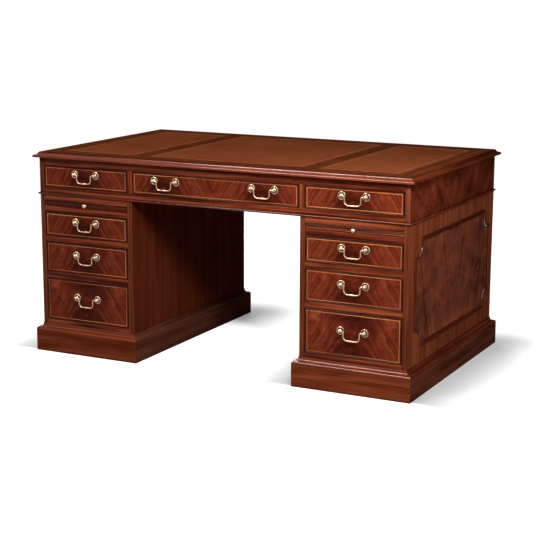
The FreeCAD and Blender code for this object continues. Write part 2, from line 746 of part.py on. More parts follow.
def hinge(name, side, low):
    """Butt hinge from the height low: the leaf on the side, its pin, and the leaf on the door."""
    high = f"{low} + Sizes.hinge_length"
    third, play = "Sizes.hinge_length / 3", "Sizes.knuckle_play / 2"
    lower = (low, f"{low} + {third} - {play}")
    middle = (f"{low} + {third} + {play}", f"{high} - {third} - {play}")
    upper = (f"{high} - {third} + {play}", high)
    fixed_x = ("Places.opening_out - Sizes.hinge_leaf", "Places.opening_out")
    moving_x = ("Places.door_out", "Places.door_out + Sizes.hinge_leaf")
    fixed = hinge_half(f"{name}_fixed", side, fixed_x, (low, high), [lower, upper])
    moving = hinge_half(f"{name}_moving", side, moving_x, (low, high), [middle])
    pin = rod(f"{name}_pin", "Sizes.pin_radius", "Sizes.hinge_length",
              handed(side, "Places.hinge_x"), "Places.hinge_y", low)
    return [fixed, pin], [moving]


def top():
    """Moulded and mitred border round the core, cross bands, and three writing leathers."""
    border = mitred_frame("top_border", "Sizes.desk_width / 2", "Sizes.desk_depth / 2", [
        ("-Sizes.top_border", 0),
        (0, 0),
        (0, "Places.edge_foot", "Sizes.edge_nose", -1),
        ("-Sizes.edge_nose", "Places.edge_hollow_low"),
        ("-Places.edge_hollow_out", "Places.edge_hollow_low", "Sizes.edge_hollow", 1),
        ("-Places.edge_hollow_in", "Sizes.top_thick - Sizes.edge_step"),
        ("-(Places.edge_hollow_in + Sizes.edge_fillet)", "Sizes.top_thick - Sizes.edge_step"),
        ("-(Places.edge_hollow_in + Sizes.edge_fillet)", "Sizes.top_thick"),
        ("-Sizes.top_border", "Sizes.top_thick"),
    ], 0, "Sizes.top_border")
    frame = put(group("top_border", border), 0, 0, "Places.top_under")
    x, y = "Places.leather_x", "Places.leather_y"
    lining = ("Places.leather_low", "Sizes.desk_height")
    core = block("top_core", (f"-{x}", x), (f"-{y}", y), ("Places.top_under", "Places.leather_low"))
    bands = [block(f"top_band_{word}", mirrored(side, "Places.band_in", "Places.band_out"),
                   (f"-{y}", y), lining) for word, side in SIDES.items()]
    node("top_board", [frame, core] + bands)
    leathers = [block(f"leather_{word}", mirrored(side, "Places.band_out", x), (f"-{y}", y), lining)
                for word, side in SIDES.items()]
    leathers.append(block("leather_centre", ("-Places.band_in", "Places.band_in"), (f"-{y}", y), lining))
    node("leather_panels", leathers)


def frieze():
    """Frame of the frieze, its inner partitions and runners, and the moulding round its foot."""
    low, high = "Places.frieze_low", "Places.top_under"
    opening = ("Places.frieze_open_low", "Places.frieze_open_high")
    levels = {"lower": (low, opening[0]), "upper": (opening[1], high)}
    frame = [block(f"frieze_end_{word}", mirrored(side, "Places.opening_out", "Places.body_x"),
                   ("-Places.body_y", "Places.body_y"), (low, high)) for word, side in SIDES.items()]
    for level, z in levels.items():
        for word, y in (("front", ("-Places.body_y", "-Places.rail_y")),
                        ("rear", ("Places.rail_y", "Places.body_y"))):
            frame.append(block(f"frieze_{level}_{word}_rail",
                               ("-Places.opening_out", "Places.opening_out"), y, z))
    node("frieze_frame", frame)

    spine_y = ("-Sizes.spine_thick / 2", "Sizes.spine_thick / 2")
    inner = [block("frieze_spine_centre", ("-Places.divider_in", "Places.divider_in"), spine_y, opening)]
    for word, side in SIDES.items():
        inner.append(block(f"frieze_spine_{word}",
                           mirrored(side, "Places.divider_out", "Places.opening_out"), spine_y, opening))
        inner.append(block(f"frieze_divider_{word}",
                           mirrored(side, "Places.divider_in", "Places.divider_out"),
                           ("-Places.body_y", "Places.body_y"), opening))
        for level, z in levels.items():
            y = ("-Places.rail_y", "Places.rail_y")
            inner.append(block(f"frieze_{level}_end_runner_{word}",
                               mirrored(side, "Places.opening_out - Sizes.runner_width",
                                        "Places.opening_out"), y, z))
            inner.append(block(f"frieze_{level}_divider_runner_{word}",
                               mirrored(side, "Places.divider_in - Sizes.runner_width",
                                        "Places.divider_out + Sizes.runner_width"), y, z))
    node("frieze_partitions", inner)

    waist = mitred_frame("waist_moulding", "Places.body_x", "Places.body_y", [
        ("-Sizes.waist_depth", 0),
        ("Places.waist_flat", 0, "Sizes.waist_nose", -1),
        ("Places.waist_flat", "Sizes.waist_height"),
        ("-Sizes.waist_depth", "Sizes.waist_height"),
    ], "Sizes.waist_projection", "Sizes.waist_depth")
    node("waist_moulding", [put(group("waist_strips", waist), 0, 0, "Places.carcass_high")])


def frieze_drawers():
    """Three drawers to either side of the desk, the middle one with two handles."""
    opening = ("Places.frieze_open_low", "Places.frieze_open_high")
    pair = (("_left", "-Sizes.centre_handles / 2"), ("_right", "Sizes.centre_handles / 2"))
    for prefix, facing in (("", -1), ("rear_", 1)):
        depth = "Places.frieze_drawer_depth"
        drawer(f"{prefix}frieze_drawer_centre", ("-Places.divider_in", "Places.divider_in"),
               opening, depth, facing, pair)
        for word, side in SIDES.items():
            drawer(f"{prefix}frieze_drawer_{word}",
                   mirrored(side, "Places.divider_out", "Places.opening_out"), opening, depth, facing)


def pedestal(word, side):
    """Carcass of one pedestal, its rails and runners, its plinth, drawers and brushing slide."""
    name = f"pedestal_{word}"
    inside = mirrored(side, "Places.opening_in", "Places.opening_out")
    whole_y = ("-Places.body_y", "Places.body_y")
    between_rails = ("-Places.rail_y", "Places.rail_y")
    height = ("Places.carcass_low", "Places.carcass_high")
    base = ("Places.carcass_low", "Places.lower_low")
    head = ("Places.slide_high", "Places.carcass_high")
    node(f"{name}_carcass", [
        block(f"{name}_end", mirrored(side, "Places.opening_out", "Places.body_x"), whole_y, height),
        block(f"{name}_kneehole_side", mirrored(side, "Places.inner_x", "Places.opening_in"),
              whole_y, height),
        block(f"{name}_floor", inside, between_rails, base),
        block(f"{name}_ceiling", inside, between_rails, head),
        block(f"{name}_partition", inside, ("Places.partition_front", "Places.partition_back"),
              (base[1], head[0])),
    ])

    levels = {
        "lower": ("Places.lower_high", "Places.middle_low"),
        "middle": ("Places.middle_high", "Places.upper_low"),
        "slide": ("Places.upper_high", "Places.slide_low"),
    }
    front = ("-Places.body_y", "-Places.rail_y")
    rear = ("Places.rail_y", "Places.body_y")
    inner_edge = mirrored(side, "Places.opening_in", "Places.opening_in + Sizes.runner_width")
    outer_edge = mirrored(side, "Places.opening_out - Sizes.runner_width", "Places.opening_out")
    rails = []
    for place, y in (("front", front), ("rear", rear)):
        rails.append(block(f"{name}_{place}_base_rail", inside, y, base))
        rails.append(block(f"{name}_{place}_head_rail", inside, y, head))
    for level, z in levels.items():
        rails.append(block(f"{name}_{level}_rail", inside, front, z))
        for edge, x in (("inner", inner_edge), ("outer", outer_edge)):
            rails.append(block(f"{name}_{level}_{edge}_runner", x,
                               ("-Places.rail_y", "Places.partition_front"), z))
    door_back = "Places.body_y - Sizes.front_thick"
    stop_face = f"{door_back} - Sizes.stop_clearance"
    rails.append(block(f"{name}_door_stop",
                       mirrored(side, "Places.opening_in", "Places.opening_in + Sizes.stop_width"),
                       (f"{stop_face} - Sizes.stop_depth", stop_face), (base[1], head[0])))
    shelf_z = ("Places.door_mid", "Places.door_mid + Sizes.shelf_thick")
    shelf_y = ("Places.partition_back", f"{door_back} - Sizes.shelf_setback")
    cleat_z = ("Places.door_mid - Sizes.cleat_height", "Places.door_mid")
    for edge, span in (
        ("inner", ("Places.opening_in", "Places.opening_in + Sizes.cleat_width")),
        ("outer", ("Places.opening_out - Sizes.cleat_width", "Places.opening_out")),
    ):
        rails.append(block(f"{name}_{edge}_cleat", mirrored(side, *span), shelf_y, cleat_z))
    node(f"{name}_rails", rails)
    shelf = block(f"{name}_shelf", mirrored(side, "Places.opening_in + Sizes.shelf_play",
                                            "Places.opening_out - Sizes.shelf_play"), shelf_y, shelf_z)

    plinth = mitred_frame(f"{name}_plinth", "Sizes.pedestal_width / 2", "Places.body_y", [
        ("-Sizes.plinth_seat", 0),
        ("Places.plinth_projection", 0),
        ("Places.plinth_projection", "Sizes.plinth_face", "Sizes.plinth_ovolo", -1),
        ("Places.plinth_projection - Sizes.plinth_ovolo", "Sizes.plinth_face + Sizes.plinth_ovolo",
         "Sizes.plinth_cove", 1),
        ("Sizes.plinth_fillet", "Places.carcass_low - Sizes.plinth_lip"),
        ("Sizes.plinth_fillet", "Places.carcass_low"),
        ("-Sizes.plinth_seat", "Places.carcass_low"),
    ], "Places.plinth_projection", "Sizes.plinth_seat",
        handed(side, "(Places.inner_x + Places.body_x) / 2"))
    node(f"{name}_plinth", plinth)

    depth = "Places.pedestal_drawer_depth"
    drawer(f"{name}_drawer_upper", inside, ("Places.upper_low", "Places.upper_high"), depth, -1)
    drawer(f"{name}_drawer_middle", inside, ("Places.middle_low", "Places.middle_high"), depth, -1)
    drawer(f"{name}_drawer_lower", inside, ("Places.lower_low", "Places.lower_high"), depth, -1)
    slide(f"{name}_slide", inside)
    return shelf


def cupboard_door(word, side):
    """Beaded door with an applied moulding, hung on two butt hinges at the outer side."""
    name = f"cupboard_door_{word}"
    width = "(Places.door_out - Places.door_in)"
    height = "(Places.door_high - Places.door_low)"
    middle = handed(side, "(Places.door_out + Places.door_in) / 2")
    moulding = notched_moulding(f"{name}_moulding", f"{width} / 2 - Sizes.door_margin",
                                f"{height} / 2 - Sizes.door_margin")
    put(moulding, 0, 0, f"{height} / 2", about(1, 0, 0, 90))
    board, beads = beaded_front(f"{name}_leaf", width, height)
    put(node(name, [board, beads, moulding]), middle, "Places.body_y", "Places.door_low",
        about(0, 0, 1, 180))

    fixed, moving = [], []
    for place, low in (
        ("low", "Places.door_low + Sizes.hinge_inset"),
        ("high", "Places.door_high - Sizes.hinge_inset - Sizes.hinge_length"),
    ):
        on_side, on_door = hinge(f"{name}_{place}_hinge", side, low)
        fixed += on_side
        moving += on_door
    handle = put(knob(f"{name}_knob", "door_knob"),
                 handed(side, "Places.door_in + Sizes.door_knob_inset"),
                 "Places.body_y", "Places.door_mid", about(0, 0, 1, 180))
    node(f"{name}_fittings", moving + [handle])
    return fixed


def end_mouldings():
    """Notched mouldings applied to the outer ends of the pedestals."""
    high = "(Places.carcass_high - Places.carcass_low) / 2"
    frames = []
    for word, side in SIDES.items():
        frame = notched_moulding(f"end_moulding_{word}", "Places.body_y - Sizes.end_margin",
                                 f"{high} - Sizes.end_margin_high")
        turn = about(0, 0, 1, 90 * side).multiply(about(1, 0, 0, 90))
        frames.append(put(frame, handed(side, "Places.body_x"), 0,
                          "(Places.carcass_high + Places.carcass_low) / 2", turn))
    node("end_panel_mouldings", frames)


def check():
    """Stop unless every object came out whole."""
    for piece in doc.Objects:
        if {"Invalid", "Error"} & set(piece.State):
            raise SystemExit(f"{piece.Name}: {piece.State}")
    for piece in NODES:
        if piece.Shape.isNull() or not piece.Shape.isValid() or not piece.Shape.Solids:
            raise SystemExit(f"{piece.Label}: no valid solid")


def write():
    """Write one STEP file for each sub-part."""
    os.makedirs("parts", exist_ok=True)
    for piece in NODES:
        piece.Shape.exportStep(os.path.join("parts", f"{piece.Label}.step"))
        print(f"{piece.Label}: {len(piece.Shape.Solids)} solids")


top()
frieze()
frieze_drawers()
node("cupboard_shelves", [pedestal(word, side) for word, side in SIDES.items()])
node("cupboard_hinges", [leaf for word, side in SIDES.items() for leaf in cupboard_door(word, side)])
end_mouldings()
doc.recompute()
check()
write()
print(f"{len(NODES)} sub-parts")
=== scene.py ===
"""Mahogany partners desk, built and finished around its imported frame.

A piece is made in millimetres, in the frame's axes: +X to the right for someone facing the
drawer side, which looks along -Y, and +Z up. It becomes metres when it is finished.
"""
import logging
import random
from dataclasses import dataclass, field
from enum import Enum
from math import asin, ceil, cos, degrees, pi, radians, sin, sqrt
from typing import Iterable, Sequence

import bmesh
import bpy
from mathutils import Matrix, Vector


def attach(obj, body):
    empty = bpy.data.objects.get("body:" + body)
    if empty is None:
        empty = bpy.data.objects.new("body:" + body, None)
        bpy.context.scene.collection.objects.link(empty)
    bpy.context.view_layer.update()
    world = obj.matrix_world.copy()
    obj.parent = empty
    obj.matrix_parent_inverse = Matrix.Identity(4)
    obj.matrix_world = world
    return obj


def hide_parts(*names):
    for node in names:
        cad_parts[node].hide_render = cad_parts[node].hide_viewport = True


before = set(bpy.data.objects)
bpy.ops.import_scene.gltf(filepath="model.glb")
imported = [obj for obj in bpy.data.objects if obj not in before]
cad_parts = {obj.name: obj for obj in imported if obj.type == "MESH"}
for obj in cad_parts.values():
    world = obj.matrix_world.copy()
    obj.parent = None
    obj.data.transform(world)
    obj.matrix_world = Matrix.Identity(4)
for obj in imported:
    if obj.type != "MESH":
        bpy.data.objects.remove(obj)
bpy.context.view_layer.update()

LOG = logging.getLogger("desk")

MM = 0.001
GRAIN_MAP = "Grain"
SIDES = {"left": -1, "right": 1}
FRONT, REAR = -1, 1
FINE_FACET = 12.0
SHARP_EDGE = radians(25)
WELD = 0.001
TURNED_STEPS = 40

# Least share of a face's normal at which the face counts as square on, as turning, and as upward.
SQUARE_ON = 0.9
TURNING = 0.24
UPWARD = 0.8

Span = tuple[float, float]
Corner = tuple[float, ...]
Colour = tuple[float, float, float]
Socket = bpy.types.NodeSocket


class Axis(Enum):
    """Direction in which the fibres of a board run."""

    X = Vector((1, 0, 0))
    Y = Vector((0, 1, 0))
    Z = Vector((0, 0, 1))


class Slot(Enum):
    """Material slots of the record."""

    MAHOGANY = "mahogany"
    CROSS = "mahogany_cross"
    DRAWER = "drawer_mahogany"
    INNER = "inner_wood"
    LEATHER = "leather"
    BRASS = "brass"


# ---------------------------------------------------------------------------
# Lines and solids
# ---------------------------------------------------------------------------


def trace(corners: Sequence[Corner], closed: bool = True,
          facet: float = FINE_FACET) -> list[Vector]:
    """Follow straight runs and arcs through the corners of a flat outline.

    Args:
        corners: Each is (x, y), or (x, y, radius, bulge) where an arc leads to the next
            corner. Its bulge is 1 to the left of the way and -1 to the right.
        closed: Whether the last corner leads back to the first.
        facet: Largest turn of an arc between two points, in degrees.

    Returns:
        The points of the outline, in order.
    """
    ends = list(corners[1:]) + ([corners[0]] if closed else [])
    points = []
    for corner, following in zip(corners, ends):
        start, end = Vector(corner[:2]), Vector(following[:2])
        points.append(start)
        if len(corner) > 2:
            radius, bulge = corner[2:]
            chord = end - start
            aside = Vector((-chord.y, chord.x)).normalized() * bulge
            rise = sqrt(max(radius ** 2 - chord.length_squared / 4, 0))
            centre = (start + end) / 2 - aside * rise
            turn = 2 * asin(min(chord.length / (2 * radius), 1))
            parts = max(2, ceil(degrees(turn) / facet))
            for i in range(1, parts):
                part = Matrix.Rotation(-bulge * turn * i / parts, 2)
                points.append(centre + part @ (start - centre))
    if not closed:
        points.append(Vector(corners[-1][:2]))
    return points


def rectangle(half_x: float, half_y: float) -> list[Corner]:
    """Corners of a rectangle round the origin, counterclockwise."""
    return [(half_x, -half_y), (half_x, half_y), (-half_x, half_y), (-half_x, -half_y)]


class Solid:
    """One closed solid in millimetres, with a map of where its surface lies in the wood."""

    _dice = random.Random(1760)

    def __init__(self) -> None:
        """Start with an empty mesh and its grain map."""
        self.mesh = bmesh.new()
        self.map = self.mesh.loops.layers.uv.new(GRAIN_MAP)

    @classmethod
    def board(cls, x: Span, y: Span, z: Span, grain: Axis, ease: float = 0.4) -> "Solid":
        """Saw a board between the given spans and ease its edges.

        Args:
            x: Span along X.
            y: Span along Y.
            z: Span along Z.
            grain: Direction of the fibres.
            ease: Width of the eased edges.

        Returns:
            The board, with its grain mapped.
        """
        solid = cls()
        bmesh.ops.create_cube(solid.mesh, size=1)
        size = [high - low for low, high in (x, y, z)]
        middle = [(high + low) / 2 for low, high in (x, y, z)]
        bmesh.ops.scale(solid.mesh, vec=size, verts=solid.mesh.verts)
        bmesh.ops.translate(solid.mesh, vec=middle, verts=solid.mesh.verts)
        if ease:
            bmesh.ops.bevel(solid.mesh, geom=solid.mesh.edges[:], offset=ease, segments=2,
                            profile=0.5, affect="EDGES", material=-1)
        return solid.grained(grain)

    @classmethod
    def sweep(cls, section: Sequence[Vector], path: Sequence[Vector], closed: bool = True,
              swell: Sequence[float] = ()) -> "Solid":
        """Draw a closed section along a flat path, mitred at each of its corners.

        Args:
            section: Points (out, up); out is to the right of the way along the path.
            path: Points of the path in the XY plane.
            closed: Whether the path leads back to its start.
            swell: Factor on the section at each point of the path.

        Returns:
            The moulding, with its grain along the path.
        """
        solid = cls()
        count = len(path)
        runs = [(path[(i + 1) % count] - path[i]).normalized() for i in range(count)]
        if not closed:
            runs[-1] = runs[-2]
        shift = [cls._dice.random(), cls._dice.random()]
        reach = [0.0]
        for i in range(len(section)):
            reach.append(reach[-1] + (section[(i + 1) % len(section)] - section[i]).length)

        def frame_at(index: int) -> Matrix:
            """Place of the section at one point of the path."""
            i = index % count
            before = runs[i - 1] if closed or index else runs[0]
            aside = [Vector((run.y, -run.x)) for run in (before, runs[i])]
            out = (aside[0] + aside[1]) / (1 + aside[0].dot(aside[1]))
            size = swell[i] if swell else 1.0
            return Matrix(((out.x * size, out.y * size, 0, 0), (0, 0, size, 0),
                           (-out.y, out.x, 0, 0), (*path[i], 0, 1))).transposed()

        here = frame_at(0)
        ring = [solid.mesh.verts.new(here @ Vector((point.x, point.y, 0))) for point in section]
        first = edges = [solid.mesh.edges.new((ring[i - 1], ring[i])) for i in range(len(ring))]
        gone = 0.0
        for index in range(count if closed else count - 1):
            made = bmesh.ops.extrude_edge_only(solid.mesh, edges=edges)["geom"]
            fresh = {item for item in made if isinstance(item, bmesh.types.BMVert)}
            before = {vert: i for i, vert in enumerate(ring)}
            ring = [next(edge.other_vert(vert) for edge in vert.link_edges
                         if edge.other_vert(vert) in fresh) for vert in ring]
            after = {vert: i for i, vert in enumerate(ring)}
            there = frame_at(index + 1)
            bmesh.ops.transform(solid.mesh, matrix=there @ here.inverted(), verts=ring)
            start, run = path[index].to_3d(), runs[index].to_3d()
            for face in (item for item in made if isinstance(item, bmesh.types.BMFace)):
                places = [before.get(loop.vert, after.get(loop.vert)) for loop in face.loops]
                wraps = 0 in places and len(ring) - 1 in places
                for loop, place in zip(face.loops, places):
                    across = reach[-1] if wraps and place == 0 else reach[place]
                    length = gone + (loop.vert.co - start).dot(run)
                    loop[solid.map].uv = (length * MM + shift[0], across * MM + shift[1])
            edges = [item for item in made if isinstance(item, bmesh.types.BMEdge)
                     and all(vert in fresh for vert in item.verts)]
            gone += (path[(index + 1) % count] - path[index]).length
            here = there
        if closed:
            bmesh.ops.remove_doubles(solid.mesh, verts=solid.mesh.verts, dist=WELD)
        else:
            for rim in (first, edges):
                bmesh.ops.edgeloop_fill(solid.mesh, edges=rim)
        bmesh.ops.recalc_face_normals(solid.mesh, faces=solid.mesh.faces)
        return solid

    @classmethod
    def turning(cls, profile: Sequence[Vector], steps: int) -> "Solid":
        """Turn a profile round the Y axis.

        Args:
            profile: Points (radius, y) from one end of the axis to the other.
            steps: Number of facets round the axis.

        Returns:
            The turned solid, mapped by radius and height.
        """
        solid = cls()
        verts = [solid.mesh.verts.new((point.x, point.y, 0)) for point in profile]
        edges = [solid.mesh.edges.new(pair) for pair in zip(verts, verts[1:])]
        bmesh.ops.spin(solid.mesh, geom=verts + edges, cent=(0, 0, 0), axis=(0, 1, 0),
                       angle=2 * pi, steps=steps, use_merge=True)
        bmesh.ops.remove_doubles(solid.mesh, verts=solid.mesh.verts, dist=WELD)
        bmesh.ops.recalc_face_normals(solid.mesh, faces=solid.mesh.faces)
        for face in solid.mesh.faces:
            for loop in face.loops:
                place = loop.vert.co * MM
                loop[solid.map].uv = (Vector((place.x, place.z)).length, place.y)
        return solid

    @classmethod
    def sheet(cls, outline: Sequence[Vector], z: Span, grain: Axis) -> "Solid":
        """Cut a sheet to a flat outline between two heights.

        Args:
            outline: Points of the outline in the XY plane.
            z: Lower and upper height.
            grain: Direction of the fibres.

        Returns:
            The sheet, with its grain mapped.
        """
        solid = cls()
        verts = [solid.mesh.verts.new((point.x, point.y, z[0])) for point in outline]
        face = bmesh.ops.contextual_create(solid.mesh, geom=verts)["faces"]
        made = bmesh.ops.extrude_face_region(solid.mesh, geom=face, use_keep_orig=True)["geom"]
        top = [item for item in made if isinstance(item, bmesh.types.BMVert)]
        bmesh.ops.translate(solid.mesh, vec=(0, 0, z[1] - z[0]), verts=top)
        bmesh.ops.recalc_face_normals(solid.mesh, faces=solid.mesh.faces)
        return solid.grained(grain)

    def grained(self, grain: Axis) -> "Solid":
        """Map the surface as wood cut from one plank, its fibres along the first coordinate.

        Args:
            grain: Direction of the fibres.

        Returns:
            This solid.
        """
        shift = [self._dice.random(), self._dice.random()]
        along = grain.value
        self.mesh.normal_update()
        for face in self.mesh.faces:
            normal = face.normal
            end_grain = abs(normal.dot(along)) > SQUARE_ON
            first = normal.orthogonal().normalized() if end_grain else along
            across = normal.cross(first)
            for loop in face.loops:
                place = loop.vert.co * MM
                loop[self.map].uv = (place.dot(first) + shift[0], place.dot(across) + shift[1])
        return self

    def veneered(self, foot: Vector, across: Axis = Axis.X) -> "Solid":
        """Map the surface as matched veneer, by its distance from the seam and from the foot.

        Args:
            foot: Point of the seam from which the figure rises.
            across: Direction at right angles to the seam.

        Returns:
            This solid.
        """
        for face in self.mesh.faces:
            for loop in face.loops:
                place = (loop.vert.co - foot) * MM
                loop[self.map].uv = (place.dot(across.value), place.z)
        return self

    def moved(self, place: Matrix) -> "Solid":
        """Put the solid in its place."""
        bmesh.ops.transform(self.mesh, matrix=place, verts=self.mesh.verts)
        return self


def dovetails(base: float, tip: float, low: float, high: float, wished: float = 30.0,
              root: float = 11.0, flare: float = 2.2) -> list[list[Corner]]:
    """Space a row of tails evenly, with half pins at both ends.

    Args:
        base: Where the tails start.
        tip: Where they end.
        low: Lower end of the row.
        high: Upper end of the row.
        wished: Rough distance from tail to tail.
        root: Width of a pin at its widest.
        flare: Widening of a tail to each side.

    Returns:
        The four corners of each tail, upwards from base to base.
    """
    count = max(1, round((high - low) / wished))
    pitch = (high - low) / count
    narrow = (pitch - root) / 2
    wide = narrow + flare
    middles = [low + pitch * (i + 0.5) for i in range(count)]
    return [[(base, z - narrow), (tip, z - wide), (tip, z + wide), (base, z + narrow)]
            for z in middles]


def pins(tails: Sequence[Sequence[Corner]], low: float, high: float) -> list[list[Corner]]:
    """Outlines of the pins that fill the spaces of a row of tails.

    Args:
        tails: The row.
        low: Lower end of the row.
        high: Upper end of the row.

    Returns:
        The four corners of each pin.
    """
    base, tip = tails[0][0][0], tails[0][1][0]
    below = [[(base, low), (tip, low)]] + [[tail[3], tail[2]] for tail in tails]
    above = [[tail[1], tail[0]] for tail in tails] + [[(tip, high), (base, high)]]
    return [start + end for start, end in zip(below, above)]


def shifted(x: float = 0, y: float = 0, z: float = 0) -> Matrix:
    """A move without a turn."""
    return Matrix.Translation((x, y, z))


def turned(angle: float, axis: str) -> Matrix:
    """A turn by an angle in degrees about a named axis."""
    return Matrix.Rotation(radians(angle), 4, axis)


# ---------------------------------------------------------------------------
# Finishes
# ---------------------------------------------------------------------------


class Tree:
    """Nodes of a material or of the world."""

    def __init__(self, tree: bpy.types.NodeTree) -> None:
        """Take the tree that the nodes are added to.

        Args:
            tree: The tree.
        """
        self.tree = tree

    def feed(self, socket: Socket, value: object) -> None:
        """Link an output to a socket, or set the socket to a constant.

        Args:
            socket: The socket.
            value: The output or the constant.
        """
        if isinstance(value, Socket):
            self.tree.links.new(value, socket)
        else:
            socket.default_value = value

    def node(self, kind: str, sockets: dict[object, object] | None = None,
             **settings: object) -> bpy.types.Node:
        """Add a node.

        Args:
            kind: Type of the node.
            sockets: Values or outputs for its inputs, by name or number.
            settings: Values for its own properties.

        Returns:
            The node.
        """
        made = self.tree.nodes.new(kind)
        for key, value in settings.items():
            setattr(made, key, value)
        for key, value in (sockets or {}).items():
            self.feed(made.inputs[key], value)
        return made

    def calc(self, operation: str, *values: object) -> Socket:
        """Combine numbers by a Math node's operation."""
        return self.node("ShaderNodeMath", dict(enumerate(values)), operation=operation).outputs[0]

    def scaled(self, value: Socket, factor: float, more: object = 0.0) -> Socket:
        """A value times a factor, and something added to it."""
        return self.calc("MULTIPLY_ADD", value, factor, more)

    def total(self, *parts: tuple[Socket, float]) -> Socket:
        """Add values.

        Args:
            parts: Each value, with its share in the sum.

        Returns:
            The sum.
        """
        whole = 0.0
        for value, share in parts:
            whole = self.scaled(value, share, whole)
        return whole

    def between(self, value: Socket, low: Span, high: Span) -> Socket:
        """Rescale a value, smoothly held at both ends.

        Args:
            value: What is rescaled.
            low: The value at the lower end and what it becomes.
            high: The value at the upper end and what it becomes.

        Returns:
            The rescaled value.
        """
        sockets = {0: value, 1: low[0], 2: high[0], 3: low[1], 4: high[1]}
        return self.node("ShaderNodeMapRange", sockets, interpolation_type="SMOOTHSTEP").outputs[0]

    def seen(self, socket: Socket, seen: float, unseen: float) -> None:
        """Set a socket by whether the surface is seen straight, in a mirror or through glass.

        Args:
            socket: The socket.
            seen: Its value for such rays.
            unseen: Its value for the light that falls on things.
        """
        path = self.node("ShaderNodeLightPath")
        most = path.outputs["Is Camera Ray"]
        for name in ("Is Glossy Ray", "Is Transmission Ray"):
            most = self.calc("MAXIMUM", most, path.outputs[name])
        spread = self.node("ShaderNodeMapRange", {0: most, 3: unseen, 4: seen})
        self.feed(socket, spread.outputs[0])


class Recipe(Tree):
    """Nodes of one finish."""

    def __init__(self, name: str, **constants: object) -> None:
        """Start a material whose shader has the given constants on its own sockets.

        Args:
            name: Name of the material.
            constants: Socket names, with underscores for spaces, and their values.
        """
        self.material = bpy.data.materials.new(name)
        self.material.use_nodes = True
        super().__init__(self.material.node_tree)
        self.shader = self.tree.nodes["Principled BSDF"]
        for socket, value in constants.items():
            self.shader.inputs[socket.replace("_", " ")].default_value = value

    def own_place(self) -> Socket:
        """Place in the object's own space."""
        return self.node("ShaderNodeTexCoord").outputs["Object"]

    def split(self, place: Socket) -> list[Socket]:
        """The three coordinates of a place."""
        return list(self.node("ShaderNodeSeparateXYZ", {0: place}).outputs)

    def wood_place(self) -> list[Socket]:
        """The two coordinates of the grain map."""
        return self.split(self.node("ShaderNodeUVMap", uv_map=GRAIN_MAP).outputs[0])[:2]

    def noise(self, place: Socket, scale: float = 1.0, detail: float = 4.0,
              roughness: float = 0.5, stir: float = 0.0) -> Socket:
        """Read smooth noise at a place.

        Args:
            place: Where it is read.
            scale: Waves to a unit of the place.
            detail: Number of finer waves.
            roughness: Strength of the finer waves.
            stir: How far the waves are stirred.

        Returns:
            The noise, about 0.5 on average.
        """
        sockets = {"Vector": place, "Scale": scale, "Detail": detail, "Roughness": roughness,
                   "Distortion": stir}
        return self.node("ShaderNodeTexNoise", sockets).outputs[0]

    def waves(self, place: Sequence[Socket], scales: Span, detail: float = 4.0,
              roughness: float = 0.5, stir: float = 0.0, seed: object = 0.0) -> Socket:
        """Read smooth noise that is drawn out along one of two coordinates.

        Args:
            place: The two coordinates.
            scales: Waves to a metre along each of them.
            detail: Number of finer waves.
            roughness: Strength of the finer waves.
            stir: How far the waves are stirred.
            seed: Where in the tree the wood was cut.

        Returns:
            The noise, about 0.5 on average.
        """
        sockets = {i: self.calc("MULTIPLY", place[i], scale) for i, scale in enumerate(scales)}
        drawn = self.node("ShaderNodeCombineXYZ", {**sockets, 2: seed}).outputs[0]
        return self.noise(drawn, 1.0, detail, roughness, stir)

    def ramp(self, value: Socket, *stops: tuple[float, Colour]) -> Socket:
        """Colour a value by stops of (place, colour)."""
        made = self.node("ShaderNodeValToRGB", {0: value})
        elements = made.color_ramp.elements
        while len(elements) < len(stops):
            elements.new(1.0)
        for element, (place, colour) in zip(elements, stops):
            element.position = place
            element.color = (*colour, 1.0)
        return made.outputs[0]

    def blend(self, share: object, first: object, second: object, kind: str = "MIX") -> Socket:
        """Mix two colours.

        Args:
            share: Share of the second.
            first: Colour or output.
            second: Colour or output.
            kind: Way of mixing.

        Returns:
            The mixed colour.
        """
        made = self.node("ShaderNodeMix", {0: share}, data_type="RGBA", blend_type=kind)
        for key, value in ((6, first), (7, second)):
            self.feed(made.inputs[key], value if isinstance(value, Socket) else (*value, 1.0))
        return made.outputs[2]

    def shade_corners(self, colour: Socket, reach: float, left: float = 0.15) -> Socket:
        """Darken a colour in corners and narrow gaps: painted shade, found by ambient occlusion.

        Args:
            colour: The colour before its painted shade.
            reach: How near another surface has to be, in metres.
            left: Share of the colour left in the deepest corners.

        Returns:
            The colour with its painted shade in the corners.
        """
        corners = self.node("ShaderNodeAmbientOcclusion", {"Distance": reach}, samples=8)
        shade = self.between(corners.outputs["AO"], (0.45, left), (0.8, 1.0))
        return self.blend(1.0, colour, shade, "MULTIPLY")

    def finish(self, colour: Socket, roughness: Socket, height: Socket,
               relief: float) -> bpy.types.Material:
        """Connect the shader.

        Args:
            colour: Base colour.
            roughness: Roughness.
            height: Height of the surface, from 0 to 1.
            relief: Height in millimetres that a height of 1 stands for.

        Returns:
            The material.
        """
        bump = self.node("ShaderNodeBump", {"Strength": 1.0, "Distance": relief * MM,
                                            "Height": height}).outputs[0]
        for name, value in (("Base Color", colour), ("Roughness", roughness), ("Normal", bump)):
            self.feed(self.shader.inputs[name], value)
        return self.material


@dataclass(frozen=True)
class Finish:
    """What a piece is made of and how its surface is treated."""

    name: str
    slot: Slot

    def recipe(self) -> bpy.types.Material:
        """Make the material."""
        raise NotImplementedError

    def material(self) -> bpy.types.Material:
        """The material, made once."""
        return bpy.data.materials.get(self.name) or self.recipe()


